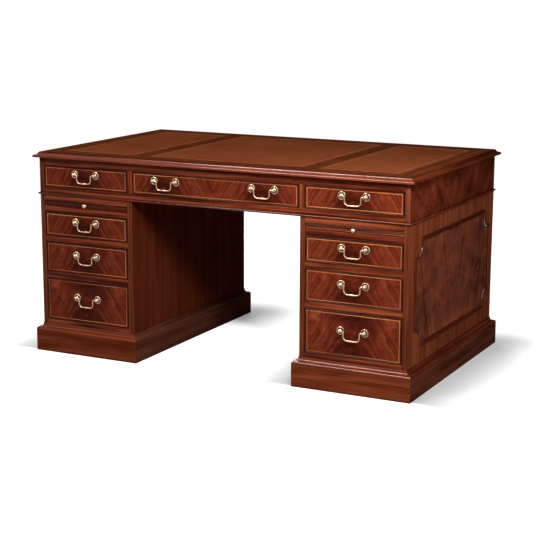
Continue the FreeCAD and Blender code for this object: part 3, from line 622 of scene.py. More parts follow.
@dataclass(frozen=True)
class StraightWood(Finish):
    """Polished wood with long fibres along the first coordinate of the grain map.

    The stripe is the width of its ribbons in millimetres, and the reach of the painted shade
    in its corners is given in metres.
    """

    dark: Colour
    middle: Colour
    light: Colour
    stripe: float = 16.0
    gloss: float = 0.04
    roughness: float = 0.32
    solid_axis: Axis | None = None
    shade_reach: float = 0.010

    def recipe(self) -> bpy.types.Material:
        """Broad ribbons, fine streaks and open pores."""
        made = Recipe(self.name, Specular_IOR_Level=self.gloss)
        place = self._place(made)
        broad = 1000 / self.stripe
        ribbons = made.waves(place, (1.6, broad), detail=3.0, roughness=0.55, stir=0.6)
        streaks = made.waves(place, (5.0, 420.0), roughness=0.6, stir=0.2)
        cloud = made.waves(place, (7.0, 9.0), detail=2.0)
        tone = made.total((ribbons, 0.55), (streaks, 0.3), (cloud, 0.15))
        colour = made.ramp(tone, (0.41, self.dark), (0.5, self.middle), (0.59, self.light))
        fine = made.waves(place, (60.0, 1600.0), detail=2.0)
        pores = made.between(fine, (0.60, 0.0), (0.72, 1.0))
        colour = made.blend(made.scaled(pores, 0.5), colour, self.dark)
        rough = made.scaled(cloud, 0.12, self.roughness - 0.06)
        height = made.calc("SUBTRACT", 1.0, pores)
        # Painted shade in corners and narrow gaps, found by ambient occlusion.
        return made.finish(made.shade_corners(colour, self.shade_reach), rough, height, relief=0.04)

    def _place(self, made: Recipe) -> list[Socket]:
        """Coordinates along and across the fibres.

        Args:
            made: The recipe that reads them.

        Returns:
            From the grain map, or for solid wood with an axis, from the object's own space.
        """
        if self.solid_axis is None:
            return made.wood_place()
        others = made.split(made.own_place())
        along = others.pop("XYZ".index(self.solid_axis.name))
        return [along, made.scaled(others[1], 0.83, others[0])]


@dataclass(frozen=True)
class FlameVeneer(Finish):
    """Crotch mahogany, matched about a seam, whose figure rises from a foot and arches over.

    A negative lean lets the lines climb away from the seam, and a negative arch bends them
    upwards. The band is the width of the flames in millimetres, quiet changes the tone round
    the seam, the leaf tone paints one leaf lighter than the other as a painted sheen, and the
    seed picks the tree.
    """

    lean: float
    arch: float
    band: float
    dark: Colour
    middle: Colour
    light: Colour
    bright: Colour
    rounding: float = 0.02
    quiet: float = 0.0
    leaf_sheen: float = 0.0
    gloss: float = 0.0
    seed: float = 0.0
    # How far from a corner the painted shade reaches, in metres.
    shade_reach: float = 0.010

    def recipe(self) -> bpy.types.Material:
        """Soft flames with fine feathers along them, quieter round the seam."""
        made = Recipe(self.name, Specular_IOR_Level=self.gloss)
        along, height = made.wood_place()
        out = made.calc("ABSOLUTE", along)
        square = made.calc("POWER", out, 2.0)
        seed = made.scaled(made.calc("SIGN", along), 0.06, self.seed)
        hollow = made.calc("SQRT", made.calc("ADD", square, self.rounding ** 2))
        line = made.total((height, 1.0), (hollow, self.lean), (square, self.arch))
        for scale, reach in ((6.0, 0.08), (17.0, 0.034), (50.0, 0.006)):
            stir = made.waves((out, height), (scale, scale), detail=3.0, seed=seed)
            line = made.calc("ADD", line, made.scaled(stir, reach, -0.5 * reach))
        flames, feathers, fibres = (
            made.waves((line, out), (across / self.band, stretch), roughness=0.6, stir=0.4,
                       seed=seed)
            for across, stretch in ((1000.0, 5.0), (3600.0, 14.0), (15000.0, 34.0)))
        cloud = made.waves((out, height), (11.0, 15.0), roughness=0.55, stir=0.6,
                           seed=made.calc("ADD", seed, 4.0))
        tone = made.total((flames, 0.36), (feathers, 0.17), (fibres, 0.11), (cloud, 0.36))
        # The second pair paints one leaf lighter than the other: a painted sheen for chatoyance.
        for value, start, end, change in ((out, 0.02, 0.13, self.quiet),
                                          (along, -0.003, 0.003, self.leaf_sheen)):
            shift = made.between(value, (start, -0.5 * change), (end, 0.5 * change))
            tone = made.calc("ADD", tone, shift)
        colour = made.ramp(tone, (0.41, self.dark), (0.485, self.middle), (0.56, self.light),
                           (0.65, self.bright))
        rough = made.scaled(cloud, 0.1, 0.25)
        # Painted shade in corners and narrow gaps, found by ambient occlusion.
        return made.finish(made.shade_corners(colour, self.shade_reach), rough, fibres, relief=0.02)


@dataclass(frozen=True)
class Leather(Finish):
    """Hide with a fine grain, its colour mottled."""

    dark: Colour = (0.1345, 0.0339, 0.0112)
    middle: Colour = (0.1561, 0.0405, 0.0136)
    light: Colour = (0.1770, 0.0478, 0.0164)
    crease: Colour = (0.0710, 0.0150, 0.0058)

    def recipe(self) -> bpy.types.Material:
        """Mottled colour, cells and creases."""
        made = Recipe(self.name, Specular_IOR_Level=0.0)
        place = made.own_place()
        mottle = made.noise(place, 7.0, detail=5.0, roughness=0.6)
        fine = made.noise(place, 60.0, roughness=0.6)
        tone = made.total((mottle, 0.7), (fine, 0.3))
        colour = made.ramp(tone, (0.34, self.dark), (0.5, self.middle), (0.66, self.light))
        cells = made.node("ShaderNodeTexVoronoi", {"Vector": place, "Scale": 620.0},
                          feature="DISTANCE_TO_EDGE").outputs[0]
        raised = made.between(cells, (0.0, 0.0), (0.22, 1.0))
        colour = made.blend(made.scaled(raised, -0.25, 0.25), colour, self.crease)
        height = made.total((raised, 0.7), (fine, 0.5))
        return made.finish(colour, made.scaled(fine, 0.2, 0.42), height, relief=0.12)


@dataclass(frozen=True)
class Brass(Finish):
    """Rubbed brass with a little tarnish, and a darker turned hollow: patina and painted shade."""

    bright: Colour = (0.396, 0.264, 0.170)
    tarnish: Colour = (0.16, 0.100, 0.052)
    patina_and_shade: Colour = (0.050, 0.026, 0.012)
    hollow: Span | None = None
    hollow_edge: float = 0.12

    def recipe(self) -> bpy.types.Material:
        """Cloudy tarnish, fine scratches and soft gloss."""
        made = Recipe(self.name, Metallic=1.0)
        place = made.own_place()
        cloud = made.noise(place, 160.0, roughness=0.6, stir=0.4)
        drawn = made.node("ShaderNodeMapping", {0: place, 3: (900.0, 300.0, 2400.0)}).outputs[0]
        scratches = made.noise(drawn, detail=2.0)
        rubbed = tuple(1.15 * part for part in self.bright)
        colour = made.ramp(cloud, (0.30, self.tarnish), (0.46, self.bright), (0.7, rubbed))
        # The rosette's dish is darkened: partly patina, partly painted shade for its dark
        # reflection.
        if self.hollow:
            radius, _ = made.wood_place()
            start, end = self.hollow
            fade = self.hollow_edge * (end - start)
            inside = made.calc("MULTIPLY",
                               made.between(radius, (start, 0.0), (start + fade, 1.0)),
                               made.between(radius, (end - fade, 1.0), (end, 0.0)))
            colour = made.blend(made.scaled(inside, 0.85), colour, self.patina_and_shade)
        rough = made.calc("ADD", made.total((cloud, 0.25), (scratches, 0.12)), 0.11)
        return made.finish(colour, rough, scratches, relief=0.01)


@dataclass(frozen=True)
class Gilding(Finish):
    """Thin gold line pressed into leather, worn here and there."""

    worn: Colour = (0.19, 0.052, 0.018)
    gold: Colour = (0.29, 0.110, 0.040)

    def recipe(self) -> bpy.types.Material:
        """Gold over hide."""
        made = Recipe(self.name, Specular_IOR_Level=0.0)
        wear = made.noise(made.own_place(), 45.0, roughness=0.65)
        colour = made.ramp(wear, (0.38, self.worn), (0.55, self.gold))
        return made.finish(colour, made.scaled(wear, 0.3, 0.3), wear, relief=0.02)


# Straight woods give their dark, middle and light streaks, as linear colours.
STRAIGHT = StraightWood(
    "mahogany_straight", Slot.MAHOGANY,
    (0.0362, 0.0042, 0.0012), (0.1319, 0.0209, 0.0055), (0.2654, 0.0582, 0.0199))
FLANK = StraightWood(
    "mahogany_flank", Slot.MAHOGANY,
    (0.0959, 0.0225, 0.0086), (0.1389, 0.0333, 0.0126), (0.1910, 0.0472, 0.0181),
    stripe=34.0, gloss=0.0, roughness=0.42)
# Darker copy of the ends' wood for the kneehole sides: painted shade.
KNEEHOLE_SHADED = StraightWood(
    "mahogany_kneehole_shaded", Slot.MAHOGANY,
    (0.0710, 0.0126, 0.0045), (0.0900, 0.0169, 0.0060), (0.1123, 0.0230, 0.0080),
    stripe=30.0, gloss=0.0, roughness=0.42)
LIPPING = StraightWood(
    "mahogany_lipping", Slot.MAHOGANY,
    (0.0711, 0.0137, 0.0051), (0.1217, 0.0269, 0.0103), (0.1778, 0.0444, 0.0180),
    stripe=9.0, gloss=0.0, roughness=0.36, shade_reach=0.008)
PLINTH = StraightWood(
    "mahogany_plinth", Slot.MAHOGANY,
    (0.0821, 0.0146, 0.0049), (0.1498, 0.0297, 0.0104), (0.2143, 0.0503, 0.0185),
    stripe=34.0, gloss=0.0, roughness=0.4)
# Darker copy of the plinth's wood for its sides at the desk's ends: painted shade.
PLINTH_SIDE_SHADED = StraightWood(
    "mahogany_plinth_side_shaded", Slot.MAHOGANY,
    (0.0454, 0.0123, 0.0054), (0.0794, 0.0228, 0.0105), (0.1191, 0.0372, 0.0176),
    stripe=34.0, gloss=0.0, roughness=0.42)
SHADED = StraightWood(
    "mahogany_shaded", Slot.MAHOGANY,
    (0.0563, 0.0161, 0.0091), (0.0901, 0.0278, 0.0152), (0.1276, 0.0417, 0.0221),
    stripe=34.0, gloss=0.0, roughness=0.42)
BORDER = StraightWood(
    "mahogany_border", Slot.MAHOGANY,
    (0.0449, 0.0094, 0.0030), (0.0804, 0.0191, 0.0067), (0.1180, 0.0321, 0.0116),
    stripe=10.0, gloss=0.0, roughness=0.4)
# Lighter copy of the polished wood for the top's edge and the plinth's ogee: painted light.
EDGE_LIT = StraightWood(
    "mahogany_edge_lit", Slot.MAHOGANY,
    (0.0850, 0.0110, 0.0020), (0.1500, 0.0235, 0.0050), (0.2150, 0.0430, 0.0110),
    stripe=12.0, gloss=0.14, roughness=0.15, shade_reach=0.006)
POLISHED = StraightWood(
    "mahogany_polished", Slot.MAHOGANY,
    (0.0450, 0.0036, 0.0004), (0.0950, 0.0100, 0.0012), (0.1450, 0.0225, 0.0045),
    stripe=12.0, gloss=0.14, roughness=0.15, shade_reach=0.006)
# Dark wood for the end mouldings' outward faces: painted shade lines round the veneer.
RAISED_SHADED = StraightWood(
    "mahogany_raised_shaded", Slot.MAHOGANY,
    (0.0280, 0.0048, 0.0018), (0.0560, 0.0102, 0.0038), (0.0950, 0.0200, 0.0075),
    stripe=12.0, gloss=0.0, roughness=0.3, shade_reach=0.008)
RUBBED = StraightWood(
    "mahogany_rubbed", Slot.MAHOGANY,
    (0.0400, 0.0060, 0.0020), (0.0800, 0.0130, 0.0045), (0.1300, 0.0250, 0.0090),
    stripe=12.0, gloss=0.7, roughness=0.16, shade_reach=0.004)
MOULDED = StraightWood(
    "mahogany_moulded", Slot.MAHOGANY,
    (0.0400, 0.0062, 0.0022), (0.0750, 0.0132, 0.0048), (0.1200, 0.0250, 0.0092),
    stripe=12.0, gloss=0.0, roughness=0.3, shade_reach=0.006)
CROSS = StraightWood(
    "mahogany_cross_grain", Slot.CROSS,
    (0.0379, 0.0083, 0.0026), (0.0709, 0.0178, 0.0061), (0.1086, 0.0306, 0.0108),
    stripe=9.0, gloss=0.0, roughness=0.4)
# Nearly black wood for cock beads and lip beads: painted shade of the gaps round them.
BEAD_SHADED = StraightWood(
    "mahogany_bead_shaded", Slot.MAHOGANY,
    (0.0130, 0.0016, 0.0006), (0.0260, 0.0034, 0.0012), (0.0420, 0.0068, 0.0022),
    stripe=8.0, gloss=0.1, roughness=0.14, shade_reach=0.008)
BOXWOOD = StraightWood(
    "boxwood_line", Slot.DRAWER,
    (0.25, 0.065, 0.016), (0.44, 0.145, 0.039), (0.62, 0.260, 0.080),
    stripe=5.0, gloss=0.0, roughness=0.36, shade_reach=0.004)
INNER = StraightWood(
    "inner_wood", Slot.INNER,
    (0.2600, 0.1150, 0.0450), (0.4000, 0.2050, 0.0900), (0.5200, 0.3000, 0.1450),
    stripe=14.0, gloss=0.05, roughness=0.56)
INNER_SOLID = StraightWood(
    "inner_wood_solid", Slot.INNER,
    (0.2200, 0.0950, 0.0360), (0.3400, 0.1700, 0.0700), (0.4400, 0.2500, 0.1150),
    stripe=14.0, gloss=0.05, roughness=0.6, solid_axis=Axis.Y)
DRAWER_FLAME = FlameVeneer(
    "flame_drawer", Slot.DRAWER, lean=1.8, arch=0.5, band=66.0,
    dark=(0.0295, 0.0038, 0.0014), middle=(0.0723, 0.0094, 0.0034),
    light=(0.1467, 0.0241, 0.0092), bright=(0.2596, 0.0580, 0.0228),
    rounding=0.07, quiet=0.09, leaf_sheen=0.004, gloss=0.03)
END_FLAME = FlameVeneer(
    "flame_end", Slot.MAHOGANY, lean=-3.8, arch=1.8, band=165.0,
    dark=(0.0458, 0.0124, 0.0067), middle=(0.1027, 0.0267, 0.0136),
    light=(0.1552, 0.0381, 0.0164), bright=(0.2929, 0.0736, 0.0285), seed=7.0)
FRIEZE_FLAME = FlameVeneer(
    "flame_frieze_end", Slot.MAHOGANY, lean=-1.5, arch=1.2, band=58.0,
    dark=(0.0470, 0.0079, 0.0029), middle=(0.0809, 0.0148, 0.0057),
    light=(0.1215, 0.0240, 0.0091), bright=(0.1660, 0.0371, 0.0141), seed=13.0)
HIDE = Leather("leather_hide", Slot.LEATHER)
GILT = Gilding("gilt_line", Slot.LEATHER)
BRASS = Brass("brass_rubbed", Slot.BRASS)
ROSETTE = Brass("brass_rosette", Slot.BRASS, hollow=(0.0056, 0.0122))


# ---------------------------------------------------------------------------
# Pieces
# ---------------------------------------------------------------------------


def make(name: str, solids: Iterable[Solid], finish: Finish, body: str, *replaced: str,
         **others: Finish) -> bpy.types.Object:
    """Finish a piece and hang it on its body.

    Args:
        name: Name of the piece.
        solids: The solids that it consists of.
        finish: Its finish.
        body: The frame's body that carries it.
        replaced: Nodes of the frame that it stands for.
        others: Finishes of faces that look certain ways, by the names that finish_faces gives.

    Returns:
        The finished object.
    """
    whole = bmesh.new()
    part = bpy.data.meshes.new("part")
    for solid in solids:
        solid.mesh.to_mesh(part)
        whole.from_mesh(part)
        solid.mesh.free()
    bpy.data.meshes.remove(part)
    bmesh.ops.scale(whole, vec=(MM, MM, MM), verts=whole.verts)
    mesh = bpy.data.meshes.new(name)
    whole.to_mesh(mesh)
    whole.free()
    mesh.shade_smooth()
    mesh.set_sharp_from_angle(angle=SHARP_EDGE)
    finish_faces(mesh, finish, **others)
    piece = bpy.data.objects.new(name, mesh)
    bpy.context.scene.collection.objects.link(piece)
    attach(piece, body)
    if replaced:
        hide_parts(*replaced)
    LOG.info("%s: %d faces", name, len(mesh.polygons))
    return piece


def finish_faces(mesh: bpy.types.Mesh, finish: Finish, flank: Finish | None = None,
                 inward: Finish | None = None, notch: Finish | None = None,
                 crown: Finish | None = None) -> None:
    """Give the faces of a mesh their finishes, by the way that each looks.

    Args:
        mesh: The mesh.
        finish: Finish of the faces that none of the others is for.
        flank: Finish of the runs that look towards an end of the desk.
        inward: Finish of the flanks that look into the kneehole.
        notch: Finish of the flanks that turn from an upright run to a level one.
        crown: Finish of the faces that look up.
    """
    looks = list(dict.fromkeys(look for look in (finish, flank, inward, notch, crown) if look))
    for look in looks:
        mesh.materials.append(look.material())
    if len(looks) == 1:
        return
    places = [vert.co for vert in mesh.vertices]
    start, reach = ([edge(place[i] for place in places) for i in range(2)] for edge in (min, max))
    for face in mesh.polygons:
        look, normal, centre = finish, face.normal, face.center
        inset = [min(centre[i] - start[i], reach[i] - centre[i]) for i in range(2)]
        flat = abs(normal.z) > SQUARE_ON
        sideways = inset[0] < inset[1] if flat else abs(normal.x) > abs(normal.y)
        if flank and sideways:
            look = inward if inward and normal.x * centre.x < 0.0 else flank
        if notch and min(abs(normal.y), abs(normal.z)) > TURNING:
            look = notch
        if crown and normal.z > UPWARD:
            look = crown
        face.material_index = looks.index(look)


def dress(node: str, finish: Finish) -> None:
    """Give a node of the frame a finish.

    Args:
        node: Name of the node.
        finish: Its finish.
    """
    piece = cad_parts[node]
    piece.data.materials.clear()
    piece.data.materials.append(finish.material())
    LOG.info("%s: finished in %s", node, finish.name)


def upright_sheet(corners: Sequence[Corner], x: Span, grain: Axis) -> Solid:
    """Sheet whose outline stands upright, seen from the side.

    Args:
        corners: The outline, by (y, z).
        x: Span along X.
        grain: Direction of the fibres before the sheet is set upright.

    Returns:
        The sheet.
    """
    return Solid.sheet(trace(corners), x, grain).moved(turned(90, "Z") @ turned(90, "X"))


@dataclass(frozen=True)
class CockBead:
    """Bead that is let in round a drawer or a door and stands proud of it."""

    width: float = 3.0
    depth: float = 6.0
    proud: float = 2.0
    nose: float = 1.8

    def ring(self, half: float, height: float) -> Solid:
        """Mitred beads round a front whose face is y = 0 and whose foot is z = 0.

        Args:
            half: Half the width of the front.
            height: Its height.

        Returns:
            The ring of beads.
        """
        flat = self.proud - self.nose + sqrt(self.nose ** 2 - self.width ** 2 / 4)
        section = trace([(-self.width, -self.depth), (0, -self.depth), (0, flat, self.nose, -1),
                         (-self.width, flat)])
        path = trace(rectangle(half, height / 2))
        return Solid.sweep(section, path).moved(shifted(z=height / 2) @ turned(90, "X"))


BEADING = CockBead()


@dataclass(frozen=True)
class Plan:
    """Main sizes of the desk, shared by its parts."""

    half_width: float = 762.0
    half_depth: float = 457.0
    height: float = 762.0
    body_x: float = 743.0
    body_y: float = 438.0
    side_thick: float = 20.0
    top_under: float = 742.0
    frieze_low: float = 610.0
    carcass_high: float = 603.0
    carcass_low: float = 107.0
    inner_x: float = 340.0
    rail_depth: float = 60.0
    drawer_gap: float = 1.5
    run_clearance: float = 0.5
    lipping: float = 4.0
    ovolo: float = 9.0
    plinth_cove: float = 10.0
    plinth_fillet: float = 2.0

    @property
    def pedestal(self) -> Span:
        """Middle and half width of the right pedestal, along X."""
        return (self.body_x + self.inner_x) / 2, (self.body_x - self.inner_x) / 2

    @property
    def plinth_out(self) -> float:
        """How far a plinth stands out from its pedestal."""
        return self.plinth_fillet + self.plinth_cove + self.ovolo

    @property
    def opening(self) -> Span:
        """Span of a pedestal's opening along X, on the right."""
        return self.inner_x + self.side_thick, self.body_x - self.side_thick

    @property
    def whole_y(self) -> Span:
        """Depth of the body."""
        return -self.body_y, self.body_y

    @property
    def cored_y(self) -> Span:
        """Depth of the body without the lippings."""
        return self.lipping - self.body_y, self.body_y - self.lipping

    def handed(self, side: int, low: float, high: float) -> Span:
        """A span along X on the right, or its mirror image on the left."""
        return (low, high) if side > 0 else (-high, -low)


PLAN = Plan()


def lippings(x: Span, z: Span) -> list[Solid]:
    """Solid strips along the front and rear edges of an upright board.

    Args:
        x: Span of the board along X.
        z: Span of the board along Z.

    Returns:
        The front strip and the rear one.
    """
    core, edge = PLAN.cored_y[1], PLAN.body_y
    return [Solid.board(x, y, z, Axis.Z, ease=0.3) for y in ((-edge, -core), (core, edge))]


@dataclass
class Top:
    """Moulded border, cross bands and writing leathers."""

    thick: float = 20.0
    border: float = 86.0
    step: float = 2.0
    fillet: float = 1.5
    cove: float = 8.0
    hollow: float = 11.0
    nose: float = 7.0
    leather_thick: float = 1.5
    sunk: float = 0.5
    centre: float = 315.0
    band: float = 57.0
    line_inset: float = 15.0
    line_width: float = 1.4
    line_gap: float = 4.0
    line_proud: float = 0.1

    def build(self) -> None:
        """Build and finish the top."""
        self.border_boards()
        self.field()
        self.leathers()

    def border_boards(self) -> None:
        """Mitred border and the moulding round it, with its nose and hollow."""
        hollow_low = self.thick - self.step - self.cove
        hollow_out = self.nose + self.fillet
        inner = hollow_out + self.cove + self.fillet
        path = trace(rectangle(PLAN.half_width, PLAN.half_depth))
        flat = trace([(-self.border, 0), (-inner, 0), (-inner, self.thick),
                      (-self.border, self.thick)])
        moulded = trace([
            (-inner, 0), (0, 0), (0, hollow_low - self.nose, self.nose, -1),
            (-self.nose, hollow_low), (-hollow_out, hollow_low, self.hollow, 1),
            (-hollow_out - self.cove, self.thick - self.step),
            (-inner, self.thick - self.step), (-inner, self.thick),
        ])
        ring = Solid.sweep(flat, path).moved(shifted(z=PLAN.top_under))
        make("top_border", [ring], BORDER, "desk", "top_board")
        ring = Solid.sweep(moulded, path).moved(shifted(z=PLAN.top_under))
        # The edge's front and rear runs take a lighter copy of the polished wood: painted light.
        make("top_edge", [ring], EDGE_LIT, "desk", "top_board", flank=MOULDED)

    def field(self) -> None:
        """Core under the leathers and the bands between them."""
        x, y = PLAN.half_width - self.border, PLAN.half_depth - self.border
        low = PLAN.height - self.leather_thick
        core = Solid.board((-x, x), (-y, y), (PLAN.top_under, low), Axis.X, ease=0)
        make("top_core", [core], BORDER, "desk", "top_board")
        bands = [Solid.board(PLAN.handed(side, self.centre, self.centre + self.band), (-y, y),
                             (low, PLAN.height), Axis.X, ease=0.2) for side in SIDES.values()]
        make("top_bands", bands, CROSS, "desk", "top_board")

    def leathers(self) -> None:
        """Three hides, each with two gilt lines round it."""
        x, y = PLAN.half_width - self.border, PLAN.half_depth - self.border
        low, high = PLAN.height - self.leather_thick, PLAN.height - self.sunk
        spans = [(-self.centre, self.centre)]
        spans += [PLAN.handed(side, self.centre + self.band, x) for side in SIDES.values()]
        hides = [Solid.board(span, (-y, y), (low, high), Axis.X, ease=0.3) for span in spans]
        make("leather_hides", hides, HIDE, "desk", "leather_panels")
        strip = trace([(0, 0), (self.line_width, 0), (self.line_width, self.line_proud),
                       (0, self.line_proud)])
        lines = []
        for left, right in spans:
            for inset in (self.line_inset, self.line_inset + self.line_gap):
                path = trace(rectangle((right - left) / 2 - inset, y - inset))
                lines.append(Solid.sweep(strip, path).moved(shifted((left + right) / 2, 0, high)))
        make("leather_lines", lines, GILT, "desk", "leather_panels")


@dataclass
class Frieze:
    """Frame of the frieze, its drawers and the moulding round its foot."""

    top_rail: float = 28.0
    bottom_rail: float = 21.0
    divider_in: float = 336.0
    divider_thick: float = 20.0
    divider_front: float = 18.0
    divider_skin: float = 0.15
    veneer: float = 0.8
    waist_projection: float = 6.0
    waist_nose: float = 3.8
    waist_depth: float = 34.0
    drawer_depth: float = 410.0
    handle_out: float = 197.0

    @property
    def opening(self) -> Span:
        """Heights between which the drawers lie."""
        return PLAN.frieze_low + self.bottom_rail, PLAN.top_under - self.top_rail

    def build(self) -> None:
        """Build and finish the frieze."""
        self.frame()
        self.dividers()
        self.waist()
        self.drawers()

    def frame(self) -> None:
        """Ends and rails."""
        low, high = PLAN.frieze_low, PLAN.top_under
        bottom, top = self.opening
        inner = PLAN.body_x - PLAN.side_thick
        ends, sheets, rails, lips = [], [], [], []
        for side in SIDES.values():
            outer = PLAN.body_x - self.veneer
            core, skin = PLAN.handed(side, inner, outer), PLAN.handed(side, outer, PLAN.body_x)
            ends.append(Solid.board(core, PLAN.cored_y, (low, high), Axis.Z, ease=0))
            lips += lippings(core, (low, high))
            sheet = Solid.board(skin, PLAN.whole_y, (low, high), Axis.Z, ease=0.2)
            sheets.append(sheet.veneered(Vector((0, 0, low)), Axis.Y))
        for sign in (-1, 1):
            y = sorted((sign * PLAN.body_y, sign * (PLAN.body_y - PLAN.rail_depth)))
            for z in ((low, bottom), (top, high)):
                rails.append(Solid.board((-inner, inner), tuple(y), z, Axis.X, ease=0.3))
        make("frieze_ends", ends, FLANK, "desk", "frieze_frame")
        make("frieze_end_lippings", lips, LIPPING, "desk", "frieze_frame")
        make("frieze_end_veneers", sheets, FRIEZE_FLAME, "desk", "frieze_frame")
        make("frieze_rails", rails, STRAIGHT, "desk", "frieze_frame")

    def dividers(self) -> None:
        """Fronts of the dividers over the inner partitions, which stay as they are."""
        dress("frieze_partitions", INNER_SOLID)
        skin, near = self.divider_skin, self.divider_in
        fronts = []
        for side in SIDES.values():
            x = PLAN.handed(side, near - skin, near + self.divider_thick + skin)
            for sign in (-1, 1):
                y = tuple(sorted((sign * (PLAN.body_y + skin),
                                  sign * (PLAN.body_y - self.divider_front))))
                fronts.append(Solid.board(x, y, self.opening, Axis.Z, ease=0.1))
        make("frieze_divider_fronts", fronts, STRAIGHT, "desk")

    def waist(self) -> None:
        """Rounded moulding between frieze and pedestals."""
        height = PLAN.frieze_low - PLAN.carcass_high
        nose = self.waist_nose
        flat = self.waist_projection - nose + sqrt(nose ** 2 - height ** 2 / 4)
        section = trace([(-self.waist_depth, 0), (flat, 0, nose, -1), (flat, height),
                         (-self.waist_depth, height)])
        path = trace(rectangle(PLAN.body_x, PLAN.body_y))
        ring = Solid.sweep(section, path).moved(shifted(z=PLAN.carcass_high))
        make("waist_bead", [ring], POLISHED, "desk", "waist_moulding", flank=MOULDED)

    def drawers(self) -> None:
        """Three drawers on each of the long sides, the middle one with a pair of handles."""
        out, depth = self.handle_out, self.drawer_depth
        for prefix, facing in (("", FRONT), ("rear_", REAR)):
            Drawer(f"{prefix}frieze_drawer_centre", (-self.divider_in, self.divider_in),
                   self.opening, depth, facing, {"_left": -out, "_right": out},
                   seams=(-out, out)).build()
            for word, side in SIDES.items():
                x = PLAN.handed(side, self.divider_in + self.divider_thick, PLAN.opening[1])
                Drawer(f"{prefix}frieze_drawer_{word}", x, self.opening, depth, facing).build()


@dataclass
class NotchedMoulding:
    """Applied moulding round a panel, its corners notched by hollow quarter circles."""

    half_x: float
    half_y: float
    width: float = 13.0
    thick: float = 6.0
    edge: float = 1.5
    slope: float = 7.0
    quirk: float = 1.0
    crown: float = 4.5
    shoulder: float = 3.5
    radius: float = 43.0
    margin: float = 6.0

    def path(self, inset: float = 0.0) -> list[Vector]:
        """Outer edge of the moulding, or a line inside it, counterclockwise."""
        x, y = self.half_x - inset, self.half_y - inset
        step = self.width + self.margin
        notch = step + self.radius
        corners = []
        for sign_x, sign_y in ((1, -1), (1, 1), (-1, 1), (-1, -1)):
            ends = [(x, y - notch), (x - step, y - notch), (x - notch, y - step), (x - notch, y)]
            ends = [(sign_x * end_x, sign_y * end_y) for end_x, end_y in ends]
            if sign_x != sign_y:
                ends.reverse()
            ends[1] += (self.radius, 1)
            corners += ends
        return trace(corners, facet=9.0)

    def solid(self) -> Solid:
        """The moulding on the XY plane, rising along +Z."""
        inner = self.shoulder + self.crown
        section = trace([
            (0, 0), (0, self.thick - self.shoulder, self.shoulder, -1),
            (-self.shoulder, self.thick), (-inner, self.thick),
            (-inner, self.thick - self.quirk, self.slope, 1),
            (-self.width, self.edge), (-self.width, 0),
        ])
        return Solid.sweep(section, self.path())

    def field(self, thick: float) -> Solid:
        """Veneer inside the moulding, its edge hidden by it."""
        return Solid.sheet(self.path(self.width / 2), (0, thick), Axis.X)


@dataclass
class BailHandle:
    """Swan-necked bail and the two posts that it hangs from.

    The face of the drawer is y = 0, the front is at negative y, and the pivot is z = 0.
    """

    spacing: float = 90.0
    stand: float = 11.0
    rosette: float = 14.5
    rosette_thick: float = 3.2
    rim: float = 2.2
    dish: float = 8.0
    boss: float = 4.3
    neck: float = 2.8
    ball: float = 5.6
    shank: float = 2.0
    front_thick: float = 20.0
    thread: float = 7.0
    nut: float = 4.6
    nut_thick: float = 3.2
    rod: float = 2.2
    arm: float = 9.0
    drop: float = 31.5
    bend: float = 5.0
    curve: float = 14.0
    swell: float = 3.0
    swell_length: float = 22.0
    collar: float = 3.0
    collar_width: float = 1.6
    pintle: float = 1.6
    pintle_length: float = 10.0
    ball_clearance: float = 0.4
    grip_parts: int = 8
    grip_height: float = 0.5
    rod_parts: int = 16

    def post(self) -> Solid:
        """Rosette, neck and ball in front, and the shank behind."""
        back = self.front_thick + self.thread
        ball_back = self.stand - sqrt(self.ball ** 2 - self.neck ** 2)
        profile = trace([
            (0, back), (self.shank, back), (self.shank, 0), (self.rosette, 0),
            (self.rosette, self.rim - self.rosette_thick, self.rim, 1),
            (self.rosette - self.rim, -self.rosette_thick, self.dish, -1),
            (self.boss, -self.rosette_thick),
            (self.neck, self.neck - self.boss - self.rosette_thick),
            (self.neck, -ball_back, self.ball, 1), (0, -(self.stand + self.ball)),
        ], closed=False)
        return Solid.turning(profile, TURNED_STEPS)

    def nut_solid(self) -> Solid:
        """Hexagon nut on the end of the shank."""
        start, end = self.front_thick, self.front_thick + self.nut_thick
        profile = trace([(0, end), (self.nut, end), (self.nut, start), (0, start)], closed=False)
        return Solid.turning(profile, steps=6)

    def posts(self, places: Iterable[float]) -> list[Solid]:
        """Two posts with their nuts for each handle in the row."""
        solids = []
        for place in places:
            for sign in (-1, 1):
                where = shifted(place + sign * self.spacing / 2)
                solids += [self.post().moved(where), self.nut_solid().moved(where)]
        return solids

    def bail(self) -> list[Solid]:
        """The bent rod with its swelling grip, its collars and its pintles."""
        end = self.spacing / 2 - self.ball - self.ball_clearance
        leg = end - self.arm
        bend, curve, drop = self.bend, self.curve, self.drop
        half = trace([(leg - curve, -drop, curve, -1), (leg, curve - drop), (leg, -bend, bend, 1),
                      (leg + bend, 0), (end, 0)], closed=False, facet=10.0)
        reach = self.swell_length / 2
        grip = [Vector((reach * i / self.grip_parts, -drop)) for i in range(self.grip_parts + 1)]
        path = [Vector((-point.x, point.y)) for point in reversed(grip[1:] + half)] + grip + half
        rise = self.swell / self.rod - 1
        factors = [1 + rise * (1 - min(abs(point.x) / reach, 1) ** 2)
                   if point.y < self.grip_height - drop else 1 for point in path]
        facets = [2 * pi * i / self.rod_parts for i in range(self.rod_parts)]
        section = [Vector((self.rod * cos(facet), self.rod * sin(facet))) for facet in facets]
        solids = [Solid.sweep(section, path, False, factors).moved(turned(90, "X"))]
        for sign in (-1, 1):
            start, tip = end - self.collar_width, end + self.pintle_length
            profile = trace([(0, start), (self.collar, start), (self.collar, end),
                             (self.pintle, end), (self.pintle, tip), (0, tip)], closed=False)
            solids.append(Solid.turning(profile, steps=24).moved(turned(-90 * sign, "Z")))
        return solids


